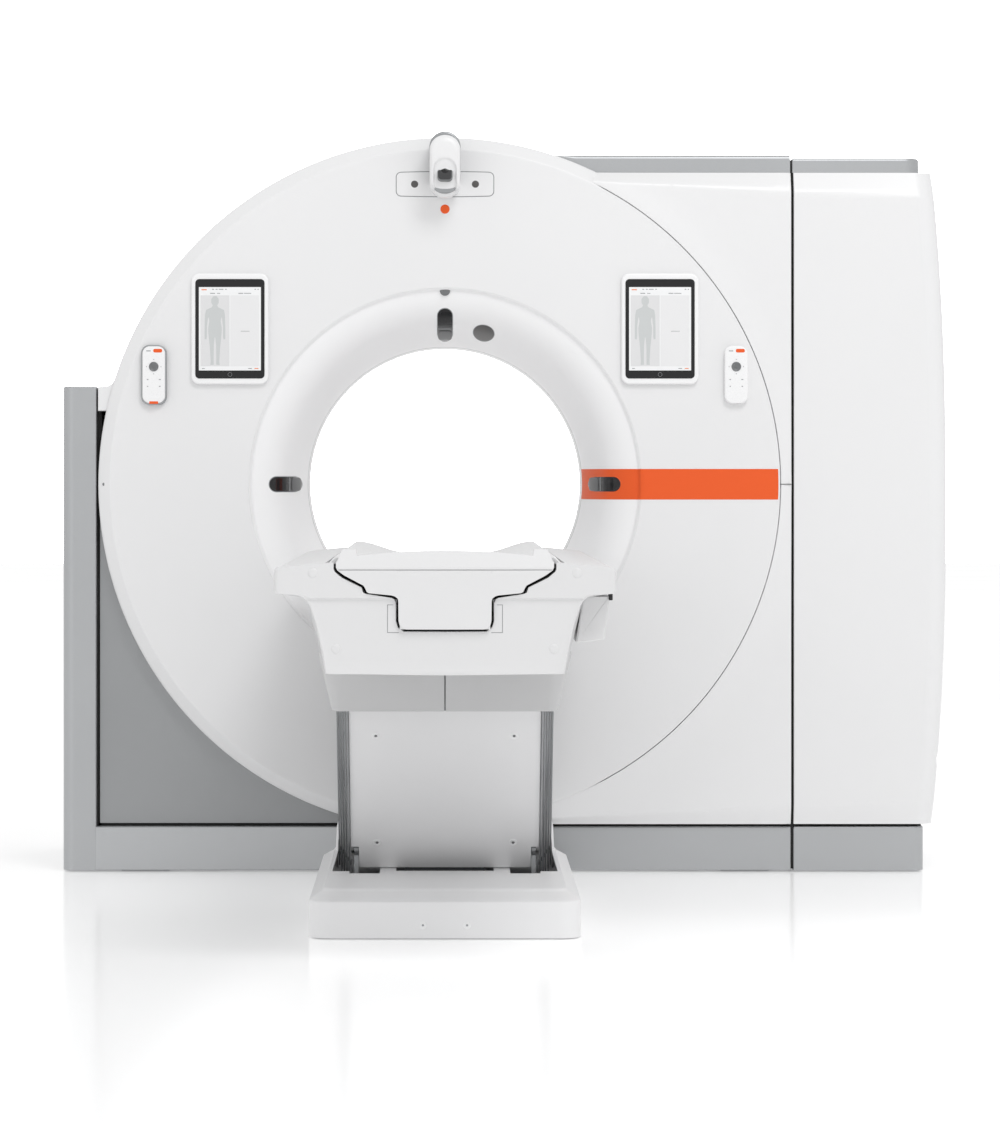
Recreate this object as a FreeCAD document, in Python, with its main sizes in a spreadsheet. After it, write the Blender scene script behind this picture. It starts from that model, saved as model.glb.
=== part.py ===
import math
import os
from types import SimpleNamespace

import FreeCAD
import Part
import Sketcher

# A computed tomography scanner: a gantry with a spinning X-ray ring, and a patient table
# whose cradle slides into the bore.  Units are millimetres, +X is to the right seen from
# the table, +Y runs from the table into the bore and +Z is up.  The origin is on the floor
# below the isocentre: under the bore axis, at the middle of the gantry's depth.

doc = FreeCAD.newDocument("ct_scanner")
sheet = doc.addObject("Spreadsheet::Sheet", "sizes")

SIZES = [
    # gantry ring and bore
    ("bore_r", 350, "patient bore radius at the throat"),
    ("axis_height", 967, "bore axis above the floor"),
    ("throat_len", 200, "straight length of the bore liner"),
    ("gantry_depth", 800, "front face to rear face"),
    ("mouth_r", 487, "radius of the crease where the mouth ring meets the disc"),
    ("mouth_step", 9, "radial width of the step at that crease"),
    ("mouth_drop", 12, "depth of that step"),
    ("lip_grow", 45, "bore to the turn of the mouth's lip, radially"),
    ("lip_depth", 85, "front face to the turn of the mouth's lip"),
    ("disc_r", 833, "radius of the flat front disc"),
    ("rim_grow", 31, "width of the disc's bevelled rim"),
    ("rim_drop", 26, "depth of the disc's bevelled rim"),
    ("disc_back", 120, "depth of the disc's side wall"),
    ("cover_wall", 5, "wall of the moulded covers"),
    ("seam", 7, "open joint between neighbouring covers"),
    ("fit_gap", 1, "gap round a piece let into a cover"),
    # gantry body
    ("body_left", 866, "bore axis to the left edge of the lower panel"),
    ("wing_right", 862, "bore axis to the right edge of the front cover"),
    ("body_top", 1744, "height of the body's shoulder line"),
    ("base_top", 113, "height of the silver base bar"),
    ("base_lift", 4, "floor gap under the silver covers"),
    ("wing_drop", 12, "wing surface behind the disc"),
    ("wing_bevel", 25, "height of the wing's top bevel"),
    ("wing_left", 120, "where the wing starts, hidden behind the disc"),
    ("panel_drop", 60, "lower left panel behind the disc"),
    ("column_outer", 954, "bore axis to the outside of the left column"),
    ("column_width", 84, "width of the left column"),
    ("column_top", 1211, "height of the left column"),
    ("column_drop", 40, "silver covers behind the disc"),
    ("column_round", 28, "rounding of the column's outer corner"),
    ("top_cap_rise", 44, "height of the silver top cover"),
    ("right_cap_rise", 37, "height of the right top cap"),
    ("right_cap_end", 1185, "bore axis to the right end of the top cap"),
    ("right_edge", 1216, "bore axis to the right cover's corners"),
    ("right_bulge", 36, "how far the right cover's side bows out"),
    ("right_base_end", 1195, "bore axis to the right end of the base bar"),
    # gantry inside
    ("liner_wall", 4, "wall of the bore liner"),
    ("drum_r", 780, "outer radius of the spinning drum"),
    ("drum_bore", 415, "inner radius of the spinning drum"),
    ("drum_plate", 30, "thickness of the drum's plate"),
    ("drum_y", -30, "front of the drum's plate, from the scan plane"),
    ("bearing_r", 600, "radius of the main bearing's split"),
    ("bearing_ring", 40, "radial width of each bearing ring"),
    ("bearing_wide", 45, "width of the bearing along the axis"),
    ("stator_wide", 60, "thickness of the stator frame"),
    ("stator_r", 740, "outer radius of the stator frame"),
    ("leg_x", 560, "bore axis to the middle of each stator leg"),
    ("unit_depth", 200, "depth of the boxes mounted on the drum"),
    # front instruments
    ("laser_reach", 400, "bore axis to each laser window"),
    ("laser_long", 76, "length of a laser window"),
    ("laser_wide", 37, "width of a laser window"),
    ("display_x", 97, "bore axis to the breathing window, across"),
    ("display_rise", 379, "breathing window above the bore axis"),
    ("display_wide", 52, "width of the breathing window"),
    ("display_high", 37, "height of the breathing window"),
    ("plate_wide", 241, "width of the sensor plate"),
    ("plate_high", 61, "height of the sensor plate"),
    ("plate_corner", 12, "corner radius of the sensor plate"),
    ("plate_rise", 746, "sensor plate above the bore axis"),
    ("camera_wide", 76, "width of the camera head"),
    ("camera_high", 161, "height of the camera head"),
    ("camera_reach", 118, "how far the camera head stands forward"),
    ("camera_rise", 790, "camera head's centre above the bore axis"),
    ("tablet_x", 534, "bore axis to each tablet's centre"),
    ("tablet_rise", 386, "tablet centre above the bore axis"),
    ("tray_wide", 192, "width of a tablet's white frame"),
    ("tray_high", 276, "height of a tablet's white frame"),
    ("tray_thick", 14, "thickness of a tablet's white frame"),
    ("tablet_wide", 172, "width of a tablet"),
    ("tablet_high", 247, "height of a tablet"),
    ("tablet_thick", 8, "thickness of a tablet"),
    ("remote_x", 723, "bore axis to each remote's centre"),
    ("remote_rise", 272, "remote centre above the bore axis"),
    ("remote_wide", 58, "width of a remote"),
    ("remote_high", 143, "height of a remote"),
    ("remote_thick", 18, "thickness of a remote"),
    ("key_r", 12, "radius of a remote's ring key"),
    ("key_travel", 1.5, "travel of a remote's ring key"),
    # table body
    ("table_front", 2600, "scan plane to the front end of the table body"),
    ("table_rear", 500, "scan plane to the rear end of the table body"),
    ("band_half", 340, "half width of the table's widest band"),
    ("band_top", 803, "height of the band's outer top edge"),
    ("band_low", 751, "height of the band's lower edge"),
    ("crown_top", 812, "height of the table top near the cradle"),
    ("crown_half", 245, "half width at the table top's inner edge"),
    ("body_half_top", 277, "half width of the body under the band"),
    ("body_half_low", 239, "half width of the body at its underside"),
    ("body_low", 589, "height of the table body's underside"),
    ("end_thick", 60, "depth of the end cover"),
    ("cradle_gap", 4.5, "open joint round the cradle's end cap"),
    ("rail_top", 738, "height of the cradle's guide rails"),
    ("keel_half", 90, "half width of the cradle's keel"),
    ("keel_low", 681, "underside of the cradle's keel"),
    ("keel_len", 300, "length of the cradle's keel"),
    ("board_half", 233, "half width of the cradle board"),
    ("board_rim", 827, "height of the cradle board's rim"),
    ("board_floor", 800, "height of the cradle board's middle"),
    ("board_thick", 22, "thickness of the cradle board"),
    # service units
    ("unit_inset", 25, "side panel's joint to the service units"),
    ("cabinet_half", 320, "half depth of the control cabinet"),
    ("cabinet_top", 1300, "height of the control cabinet"),
    ("cabinet_sheet", 4, "sheet of the control cabinet"),
    ("fan_height", 1440, "height of the cooling fan's axle"),
    ("fan_half", 140, "half width of the fan's frame"),
    ("fan_deep", 60, "depth of the fan's frame"),
    ("fan_mouth_r", 128, "radius of the fan's opening"),
    ("vent_half", 80, "half length of a vent slot"),
    ("vent_pitch", 30, "spacing of the vent slots"),
    ("vent_tall", 12, "height of a vent slot"),
    # lift
    ("arm_len", 560, "pivot to pivot length of a lift arm"),
    ("arm_lean", 35, "lean of the lift arms, degrees from upright"),
    ("pivot_height", 145, "height of the arms' lower pivots"),
    ("front_pivot", 1400, "scan plane to the front arm's lower pivot"),
    ("rear_pivot", 700, "scan plane to the rear arm's lower pivot"),
    ("pin_r", 12, "radius of a pivot pin"),
    ("pin_gap", 0.05, "radial running clearance on a pivot pin"),
    ("arm_half", 180, "bore axis to the middle of an arm"),
    ("arm_wide", 28, "thickness of an arm along its pivot"),
    ("arm_deep", 40, "depth of an arm"),
    ("plate_half", 212, "half width of the lift's cover plate"),
    ("slat_height", 110, "height of the slats' lower pivots"),
    ("slat_first", 1360, "scan plane to the first slat's pivot"),
    ("slat_pitch", 98, "spacing of the slats"),
    ("slat_len", 482, "length of a slat"),
    ("slat_half", 45, "half depth of a slat"),
    ("slat_thick", 3, "thickness of a slat"),
    ("slat_x", 214, "bore axis to the first slat"),
    ("slat_step", 8, "how much further out each next slat stands"),
    ("shroud_low", 474, "height of the lower shroud's edge"),
    ("shroud_half_front", 250, "half width of the lower shroud in front"),
    ("shroud_half_rear", 280, "half width of the lower shroud at the rear"),
    ("shroud_front", 1800, "scan plane to the lower shroud's front"),
    ("shroud_rear", 560, "scan plane to the lower shroud's rear"),
    # table base
    ("base_front", 1980, "scan plane to the front of the table base"),
    ("base_half", 291, "half width of the table base"),
    ("base_round", 35, "corner radius of the table base"),
    ("base_side", 80, "height of the base's upright side"),
    ("plateau", 100, "height of the base's top"),
    ("plateau_half", 262, "half width of the base's top"),
    ("bevel_run", 95, "length of the base's front bevel"),
    ("hump_top", 168, "height of the base where it joins the gantry"),
    ("hump_front", 840, "scan plane to the front of that raised end"),
    ("hump_half", 262, "half width of that raised end"),
    ("floor_plate", 12, "thickness of the steel floor plates"),
    ("anchor_r", 9, "radius of a floor anchor hole"),
    ("anchor_x", 1500, "spacing of the gantry anchors across"),
    ("anchor_y", 520, "spacing of the gantry anchors along the axis"),
]


class Size:
    """A number together with the sheet expression that gives it."""

    def __init__(self, number, text=None):
        self.number = float(number)
        self.text = text if text is not None else repr(float(number))
        self.fixed = text is None

    @staticmethod
    def of(value):
        return value if isinstance(value, Size) else Size(value)

    def join(self, sign, other, number):
        other = Size.of(other)
        if self.fixed and other.fixed:
            return Size(number)
        return Size(number, f"({self.text} {sign} {other.text})")

    def __add__(self, other):
        return self.join("+", other, self.number + Size.of(other).number)

    def __radd__(self, other):
        return Size.of(other) + self

    def __sub__(self, other):
        return self.join("-", other, self.number - Size.of(other).number)

    def __rsub__(self, other):
        return Size.of(other) - self

    def __mul__(self, other):
        return self.join("*", other, self.number * Size.of(other).number)

    def __rmul__(self, other):
        return Size.of(other) * self

    def __truediv__(self, other):
        return self.join("/", other, self.number / Size.of(other).number)

    def __neg__(self):
        return Size(0) - self


def root(value):
    """The square root of a size."""
    value = Size.of(value)
    return Size(math.sqrt(value.number), f"sqrt({value.text})")


def sine(angle):
    """The sine of a size in degrees."""
    return Size(math.sin(math.radians(angle.number)), f"sin({angle.text} * 1 deg)")


def cosine(angle):
    """The cosine of a size in degrees."""
    return Size(math.cos(math.radians(angle.number)), f"cos({angle.text} * 1 deg)")


def fill_sheet():
    """Write every driving dimension to the sheet, and return them as sizes."""
    named = {}
    for row, (alias, number, note) in enumerate(SIZES, start=1):
        sheet.set(f"A{row}", alias)
        sheet.set(f"B{row}", str(number))
        sheet.set(f"C{row}", note)
        sheet.setAlias(f"B{row}", alias)
        named[alias] = Size(number, f"sizes.{alias}")
    doc.recompute()
    return SimpleNamespace(**named)


d = fill_sheet()
nodes = {}


# ---------------------------------------------------------------- building blocks


def bind(obj, prop, value):
    """Tie a property to the sheet, or set it where the value is a plain number."""
    value = Size.of(value)
    if value.fixed:
        *path, last = prop.split(".")
        if path:
            placement = obj.Placement
            setattr(placement.Base, last, value.number)
            obj.Placement = placement
        else:
            setattr(obj, last, value.number)
    else:
        obj.setExpression(prop, value.text)


def place(obj, x=0, y=0, z=0):
    """Move an object by sizes along the three axes."""
    for letter, value in zip("xyz", (x, y, z)):
        if Size.of(value).number or not Size.of(value).fixed:
            bind(obj, f"Placement.Base.{letter}", value)
    return obj


def node(obj, name):
    """Give a finished piece its name."""
    obj.Label = name
    nodes[name] = obj
    return obj


def box(name, x, y, z):
    """A block between two sizes on each axis."""
    obj = doc.addObject("Part::Box", name)
    for prop, (low, high) in zip(("Length", "Width", "Height"), (x, y, z)):
        bind(obj, prop, Size.of(high) - low)
    return place(obj, x[0], y[0], z[0])


TURN = {"X": (0, 1, 0, 90), "Y": (1, 0, 0, -90), "Z": (0, 0, 1, 0)}


def rod(name, axis, start, radius, length):
    """A cylinder that starts at a point and runs along an axis."""
    obj = doc.addObject("Part::Cylinder", name)
    bind(obj, "Radius", radius)
    bind(obj, "Height", length)
    *way, angle = TURN[axis]
    obj.Placement = FreeCAD.Placement(
        FreeCAD.Vector(), FreeCAD.Rotation(FreeCAD.Vector(*way), angle)
    )
    return place(obj, *start)


def cut(name, base, *tools):
    """The base with every tool taken out of it."""
    obj = doc.addObject("Part::Cut", name)
    obj.Base = base
    obj.Tool = tools[0] if len(tools) == 1 else fuse(name + "_tools", *tools)
    return obj


def fuse(name, *shapes):
    """Several shapes made one."""
    obj = doc.addObject("Part::MultiFuse", name)
    obj.Shapes = list(shapes)
    obj.Refine = True
    return obj


def common(name, *shapes):
    """What two or more shapes share."""
    obj = doc.addObject("Part::MultiCommon", name)
    obj.Shapes = list(shapes)
    return obj


def group(name, *shapes):
    """Separate solids kept together as one node."""
    obj = doc.addObject("Part::Compound", name)
    obj.Links = list(shapes)
    return obj


def tube(name, axis, start, outer, inner, length):
    """A ring or pipe."""
    x, y, z = start
    step = {"X": (1, 0, 0), "Y": (0, 1, 0), "Z": (0, 0, 1)}[axis]
    back = [Size.of(v) - s for v, s in zip((x, y, z), step)]
    core = rod(name + "_core", axis, back, inner, Size.of(length) + 2)
    return cut(name, rod(name + "_solid", axis, start, outer, length), core)


def arc_between(a, b, radius):
    """The circle arc from a to b; a positive radius bulges to the right of the way."""
    chord = b - a
    side = FreeCAD.Vector(chord.y, -chord.x, 0).normalize()
    reach = math.sqrt(max(radius * radius - chord.Length**2 / 4, 0))
    sign = 1 if radius > 0 else -1
    centre = (a + b) / 2 - side * sign * reach
    first, last = (a, b) if sign > 0 else (b, a)
    turn = [math.atan2(p.y - centre.y, p.x - centre.x) for p in (first, last)]
    circle = Part.Circle(centre, FreeCAD.Vector(0, 0, 1), abs(radius))
    return Part.ArcOfCircle(circle, turn[0], turn[1])


def draw(sketch, outline):
    """A closed outline. A corner is (x, y), or (x, y, radius) where an arc leaves it."""
    corners = [tuple(Size.of(v) for v in corner) for corner in outline]
    points = [FreeCAD.Vector(c[0].number, c[1].number, 0) for c in corners]
    ends = []
    for i, corner in enumerate(corners):
        a, b = points[i], points[(i + 1) % len(points)]
        if len(corner) == 3:
            edge = sketch.addGeometry(arc_between(a, b, corner[2].number))
            ends.append((1, 2) if corner[2].number > 0 else (2, 1))
        else:
            edge = sketch.addGeometry(Part.LineSegment(a, b))
            ends.append((1, 2))
    rule = Sketcher.Constraint
    for i, corner in enumerate(corners):
        after = (i + 1) % len(corners)
        sketch.addConstraint(rule("Coincident", i, ends[i][1], after, ends[after][0]))
        for kind, axis, value in zip(("DistanceX", "DistanceY"), (-2, -1), corner):
            if value.fixed and value.number == 0:
                sketch.addConstraint(rule("PointOnObject", i, ends[i][0], axis))
                continue
            number = sketch.addConstraint(
                rule(kind, -1, 1, i, ends[i][0], value.number)
            )
            if not value.fixed:
                sketch.setExpression(f"Constraints[{number}]", value.text)
        if len(corner) == 3:
            radius = corner[2] if corner[2].number > 0 else -corner[2]
            number = sketch.addConstraint(rule("Radius", i, radius.number))
            if not radius.fixed:
                sketch.setExpression(f"Constraints[{number}]", radius.text)


PLANES = {"XY": "XY_Plane", "XZ": "XZ_Plane", "YZ": "YZ_Plane"}


def sketched(name, plane, outline):
    """A body with one sketch on one of its own origin planes."""
    body = doc.addObject("PartDesign::Body", name)
    sketch = body.newObject("Sketcher::SketchObject", name + "_sketch")
    support = [f for f in body.Origin.OriginFeatures if f.Role == PLANES[plane]][0]
    sketch.AttachmentSupport = [(support, "")]
    sketch.MapMode = "FlatFace"
    draw(sketch, outline)
    doc.recompute()
    return body, sketch


def turned(name, outline):
    """A body of revolution round the bore axis; its outline is (radius, y)."""
    body, sketch = sketched(name, "XY", outline)
    feature = body.newObject("PartDesign::Revolution", name + "_turn")
    feature.Profile = sketch
    feature.ReferenceAxis = (sketch, ["V_Axis"])
    feature.Angle = 360
    return place(body, 0, 0, d.axis_height)


def pad(name, plane, outline, start, length, corner=None, rim=None, only=None):
    """A body padded from start along the plane's own axis.

    corner rounds the edges that run along the pad, and rim those of its first face.
    only names the one side, such as XMin, whose corners are rounded.
    """
    body, sketch = sketched(name, plane, outline)
    feature = body.newObject("PartDesign::Pad", name + "_pad")
    feature.Profile = sketch
    bind(feature, "Length", length)
    feature.Reversed = plane == "XZ"
    doc.recompute()
    axis = {"XZ": "y", "XY": "z", "YZ": "x"}[plane]
    if corner is not None:
        side = getattr(body.Shape.BoundBox, only) if only else None
        round_edges(
            body, name + "_corner", corner,
            lambda e: runs_along(e, axis)
            and (only is None or lies_at(e, only[0].lower(), side)),
        )
    if rim is not None:
        low = getattr(body.Shape.BoundBox, axis.upper() + "Min")
        round_edges(body, name + "_rim", rim, lambda e: lies_at(e, axis, low))
    shift = {axis: start}
    return place(body, **shift)


def runs_along(edge, axis):
    """Whether a straight edge runs along an axis."""
    ends = [v.Point for v in edge.Vertexes]
    if len(ends) != 2:
        return False
    way = ends[1] - ends[0]
    return abs(abs(getattr(way, axis)) - way.Length) < 1e-6


def lies_at(edge, axis, level):
    """Whether a whole edge lies at one level of an axis."""
    bounds = edge.BoundBox
    low, high = (getattr(bounds, axis.upper() + end) for end in ("Min", "Max"))
    return abs(low - level) < 1e-6 and abs(high - level) < 1e-6


def round_edges(body, name, radius, wanted):
    """Fillet the wanted edges of a body's tip."""
    tip = body.Tip
    edges = [
        f"Edge{i}" for i, edge in enumerate(tip.Shape.Edges, start=1) if wanted(edge)
    ]
    feature = body.newObject("PartDesign::Fillet", name)
    feature.Base = (tip, edges)
    bind(feature, "Radius", radius)
    doc.recompute()


def slab(name, x, y, z, corner=None, rim=None, plane="XZ", only=None):
    """A block with rounded corners, padded along the axis across its plane."""
    spans = {"XZ": (x, z, y), "XY": (x, y, z), "YZ": (y, z, x)}[plane]
    (u0, u1), (v0, v1), (start, end) = spans
    outline = [(u0, v0), (u1, v0), (u1, v1), (u0, v1)]
    return pad(name, plane, outline, start, Size.of(end) - start, corner, rim, only)


def round_bar(name, x, z, start, length, wide, high):
    """A stadium-shaped bar along Y, centred on x and z."""
    wide, high = Size.of(wide), Size.of(high)
    if wide.number >= high.number:
        r, reach = high / 2, (wide - high) / 2
        parts = [rod(f"{name}_end{s}", "Y", (x + reach * s, start, z), r, length) for s in (-1, 1)]
        flat = box(name + "_mid", (x - reach, x + reach), (start, start + length), (z - r, z + r))
    else:
        r, reach = wide / 2, (high - wide) / 2
        parts = [rod(f"{name}_end{s}", "Y", (x, start, z + reach * s), r, length) for s in (-1, 1)]
        flat = box(name + "_mid", (x - r, x + r), (start, start + length), (z - reach, z + reach))
    return fuse(name, flat, *parts)


# ---------------------------------------------------------------- shared places

face_y = -d.gantry_depth / 2
rear_y = d.gantry_depth / 2
throat_y = d.throat_len / 2
rim_r = d.disc_r + d.rim_grow
units_left, units_right = d.wing_right + d.unit_inset, d.right_edge - d.unit_inset - 5
fan_x = (units_left + units_right) / 2
VENT_ROWS = 4  # vent slots above and below the fan's axle
column_in = -d.column_outer + d.column_width
silver_y = face_y + d.column_drop
gantry_low = d.base_top + d.seam
wing_y = face_y + d.wing_drop


# ---------------------------------------------------------------- gantry covers


def mouth_profile(wall):
    """The mouth's outer skin set back by a wall: crease, step, lip turn and throat."""
    step_r = d.mouth_r - d.mouth_step
    lip_r = d.bore_r + d.lip_grow
    lip_y = face_y + d.lip_depth
    long_reach = -throat_y - lip_y
    inner_r = (d.lip_grow * d.lip_grow + long_reach * long_reach) / (2 * d.lip_grow)
    out_r, out_y = d.lip_grow - inner_r, -long_reach
    run_r, run_y = lip_r - step_r, d.lip_depth - d.mouth_drop
    chord = run_r * run_r + run_y * run_y
    outer_r = chord * inner_r / (2 * (run_r * out_r + run_y * out_y))
    return [
        (d.mouth_r, face_y + wall),
        (step_r, face_y + d.mouth_drop + wall, outer_r - wall),
        (lip_r - wall * out_r / inner_r, lip_y - wall * out_y / inner_r, inner_r - wall),
        (d.bore_r + wall, -throat_y),
    ]


def mouth_solid(name, outer_wall, inner_wall):
    """A revolved skin that follows the mouth between two depths below its surface."""
    front = mouth_profile(outer_wall)
    back = mouth_profile(inner_wall)
    step_r, step_y, first_r = back[1]
    turn_r, turn_y, second_r = back[2]
    returned = [
        back[3] + (-second_r,),
        (turn_r, turn_y, -first_r),
        (step_r, step_y),
        back[0],
    ]
    return turned(name, front + returned)


def build_front_cover():
    inner_r = rim_r - d.cover_wall
    disc = turned("cover_disc", [
        (d.mouth_r, face_y),
        (d.disc_r, face_y),
        (rim_r, face_y + d.rim_drop),
        (rim_r, face_y + d.disc_back),
        (inner_r, face_y + d.disc_back),
        (inner_r, face_y + d.rim_drop + d.cover_wall / 2),
        (d.disc_r - d.cover_wall / 2, face_y + d.cover_wall),
        (d.mouth_r, face_y + d.cover_wall),
    ])
    trim = box("cover_trim", (-rim_r, rim_r), (face_y - 1, rear_y), (0, gantry_low))
    wing_back = face_y + d.disc_back
    wing_outer = pad("wing_outer", "YZ", [
        (wing_y, gantry_low + d.wing_bevel / 2),
        (wing_y + d.wing_bevel / 2, gantry_low),
        (wing_back, gantry_low),
        (wing_back, d.body_top),
        (wing_y + d.wing_bevel, d.body_top),
        (wing_y, d.body_top - d.wing_bevel),
    ], d.wing_left, d.wing_right - d.wing_left)
    wing_inner = box(
        "wing_inner",
        (d.wing_left - 1, d.wing_right - d.cover_wall),
        (wing_y + d.cover_wall, wing_back + 1),
        (gantry_low + d.cover_wall * 3, d.body_top - d.cover_wall * 5),
    )
    wing = cut("wing_shell", wing_outer, wing_inner)
    inside = rod("wing_inside", "Y", (0, face_y - 1, d.axis_height), inner_r, d.gantry_depth)
    wing = cut("wing_ring", wing, inside)
    shoulder = box(
        "cover_shoulder",
        (-d.body_left, -inner_r * 0.955),
        (silver_y, wing_back),
        (d.column_top - 60, d.column_top),
    )
    shoulder = cut("shoulder_ring", shoulder, inside)
    whole = fuse("cover_whole", cut("disc_trimmed", disc, trim), wing, shoulder)
    plate_z = d.axis_height + d.plate_rise
    half_wide = d.plate_wide / 2 + d.fit_gap
    half_high = d.plate_high / 2 + d.fit_gap
    recess = slab(
        "sensor_recess",
        (-half_wide, half_wide),
        (face_y - 1, face_y + 60),
        (plate_z - half_high, plate_z + half_high),
        corner=d.plate_corner + d.fit_gap,
    )
    node(cut("front_cover_cut", whole, recess), "front_cover")


def window_bar(name, x, rise, wide, high, grow=0):
    """A stadium prism through the mouth, centred x across and rise above the axis."""
    grown = 2 * Size.of(grow)
    return round_bar(
        name, Size.of(x), d.axis_height + rise, face_y, d.gantry_depth / 2,
        Size.of(wide) + grown, Size.of(high) + grown,
    )


def build_mouths():
    ring = mouth_solid("front_mouth", Size(0), d.cover_wall)
    windows = {
        "laser_left": (-d.laser_reach, 0, d.laser_long, d.laser_wide),
        "laser_right": (d.laser_reach, 0, d.laser_long, d.laser_wide),
        "laser_top": (0, d.laser_reach, d.laser_wide, d.laser_long),
        "breathing": (d.display_x, d.display_rise, d.display_wide, d.display_high),
    }
    holes, panes = [], []
    for name, (x, rise, wide, high) in windows.items():
        holes.append(window_bar(name + "_hole", x, rise, wide, high, d.fit_gap / 4))
        skin = mouth_solid(name + "_skin", Size(-0.8), d.cover_wall - 1)
        bar = window_bar(name + "_bar", x, rise, wide, high)
        panes.append(common(name + "_shape", skin, bar))
    node(group("window_group", *panes), "mouth_windows")
    # the holes cross a doubly curved skin, which the document's own cut leaves half open
    doc.recompute()
    pierced = doc.addObject("Part::Feature", "mouth_pierced")
    pierced.Shape = ring.Shape.cut([hole.Shape for hole in holes])
    node(pierced, "front_mouth_ring")
    rear = mouth_solid("rear_mouth", Size(0), d.cover_wall)
    turned_round = group("rear_mouth_turned", rear)
    turned_round.Placement = FreeCAD.Placement(
        FreeCAD.Vector(), FreeCAD.Rotation(FreeCAD.Vector(0, 0, 1), 180)
    )
    node(turned_round, "rear_mouth_ring")
    node(
        tube(
            "bore_liner_tube", "Y", (0, -throat_y, d.axis_height),
            d.bore_r + d.liner_wall, d.bore_r, d.throat_len,
        ),
        "bore_liner",
    )


def build_silver_covers():
    wall = d.cover_wall
    column = slab(
        "column_outer_block",
        (-d.column_outer, column_in),
        (silver_y, rear_y - 10),
        (d.base_lift, d.column_top),
        corner=d.column_round,
        plane="XY",
        only="XMin",
    )
    column_hole = slab(
        "column_hole",
        (-d.column_outer + wall, column_in - wall),
        (silver_y + wall, rear_y - 10 - wall),
        (0, d.column_top - wall),
        corner=d.column_round - wall,
        plane="XY",
        only="XMin",
    )
    bar = box(
        "base_bar",
        (column_in - wall, d.wing_right),
        (silver_y, -d.anchor_y / 2 - 60),
        (d.base_lift, d.base_top),
    )
    bar_hole = box(
        "base_bar_hole",
        (column_in - 2 * wall, d.wing_right - wall),
        (silver_y + wall, 0),
        (0, d.base_top - wall),
    )
    column_shell = cut("column_shell", column, column_hole)
    bar_shell = cut("bar_shell", bar, bar_hole)
    whole = fuse("silver_l", column_shell, bar_shell)
    node(whole, "column_and_base_cover")
    right = slab(
        "right_base_block",
        (d.wing_right + d.seam, d.right_base_end),
        (silver_y, rear_y - 10),
        (d.base_lift, d.base_top),
        corner=d.column_round,
        plane="XY",
        only="XMax",
    )
    right_hole = slab(
        "right_base_hole",
        (d.wing_right, d.right_base_end - wall),
        (silver_y + wall, rear_y - 10 - wall),
        (0, d.base_top + 1),
        corner=d.column_round - wall,
        plane="XY",
        only="XMax",
    )
    node(cut("right_base_shell", right, right_hole), "right_base_cover")
    panel_y = face_y + d.panel_drop
    panel = box(
        "panel_block",
        (-d.body_left + d.seam / 2, d.wing_left - d.seam),
        (panel_y, panel_y + wall),
        (gantry_low, d.axis_height),
    )
    hidden = rod("panel_trim", "Y", (0, panel_y - 1, d.axis_height), rim_r + 0.5, wall + 2)
    node(cut("panel_ring", panel, hidden), "lower_left_panel")
    top = box(
        "top_block",
        (d.wing_left, d.wing_right),
        (face_y + d.disc_back, rear_y - 10),
        (d.body_top, d.body_top + d.top_cap_rise),
    )
    front_lip = box(
        "top_lip",
        (d.wing_left, d.wing_right),
        (wing_y + d.wing_bevel + 4, face_y + d.disc_back + 2),
        (d.body_top, d.body_top + d.top_cap_rise),
    )
    hollow = box(
        "top_hollow",
        (0, d.wing_right - wall),
        (wing_y + d.wing_bevel + 4 + wall, rear_y),
        (0, d.body_top + d.top_cap_rise - wall),
    )
    arch = rod("top_arch", "Y", (0, face_y, d.axis_height), rim_r + 1, d.gantry_depth)
    node(cut("top_shell", fuse("top_whole", top, front_lip), hollow, arch), "top_cover")
    cap = slab(
        "right_cap_block",
        (d.wing_right + d.seam, d.right_cap_end),
        (wing_y + d.wing_bevel + 4, rear_y - 10),
        (d.body_top, d.body_top + d.right_cap_rise),
        plane="XY",
    )
    node(cap, "right_top_cap")


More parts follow.
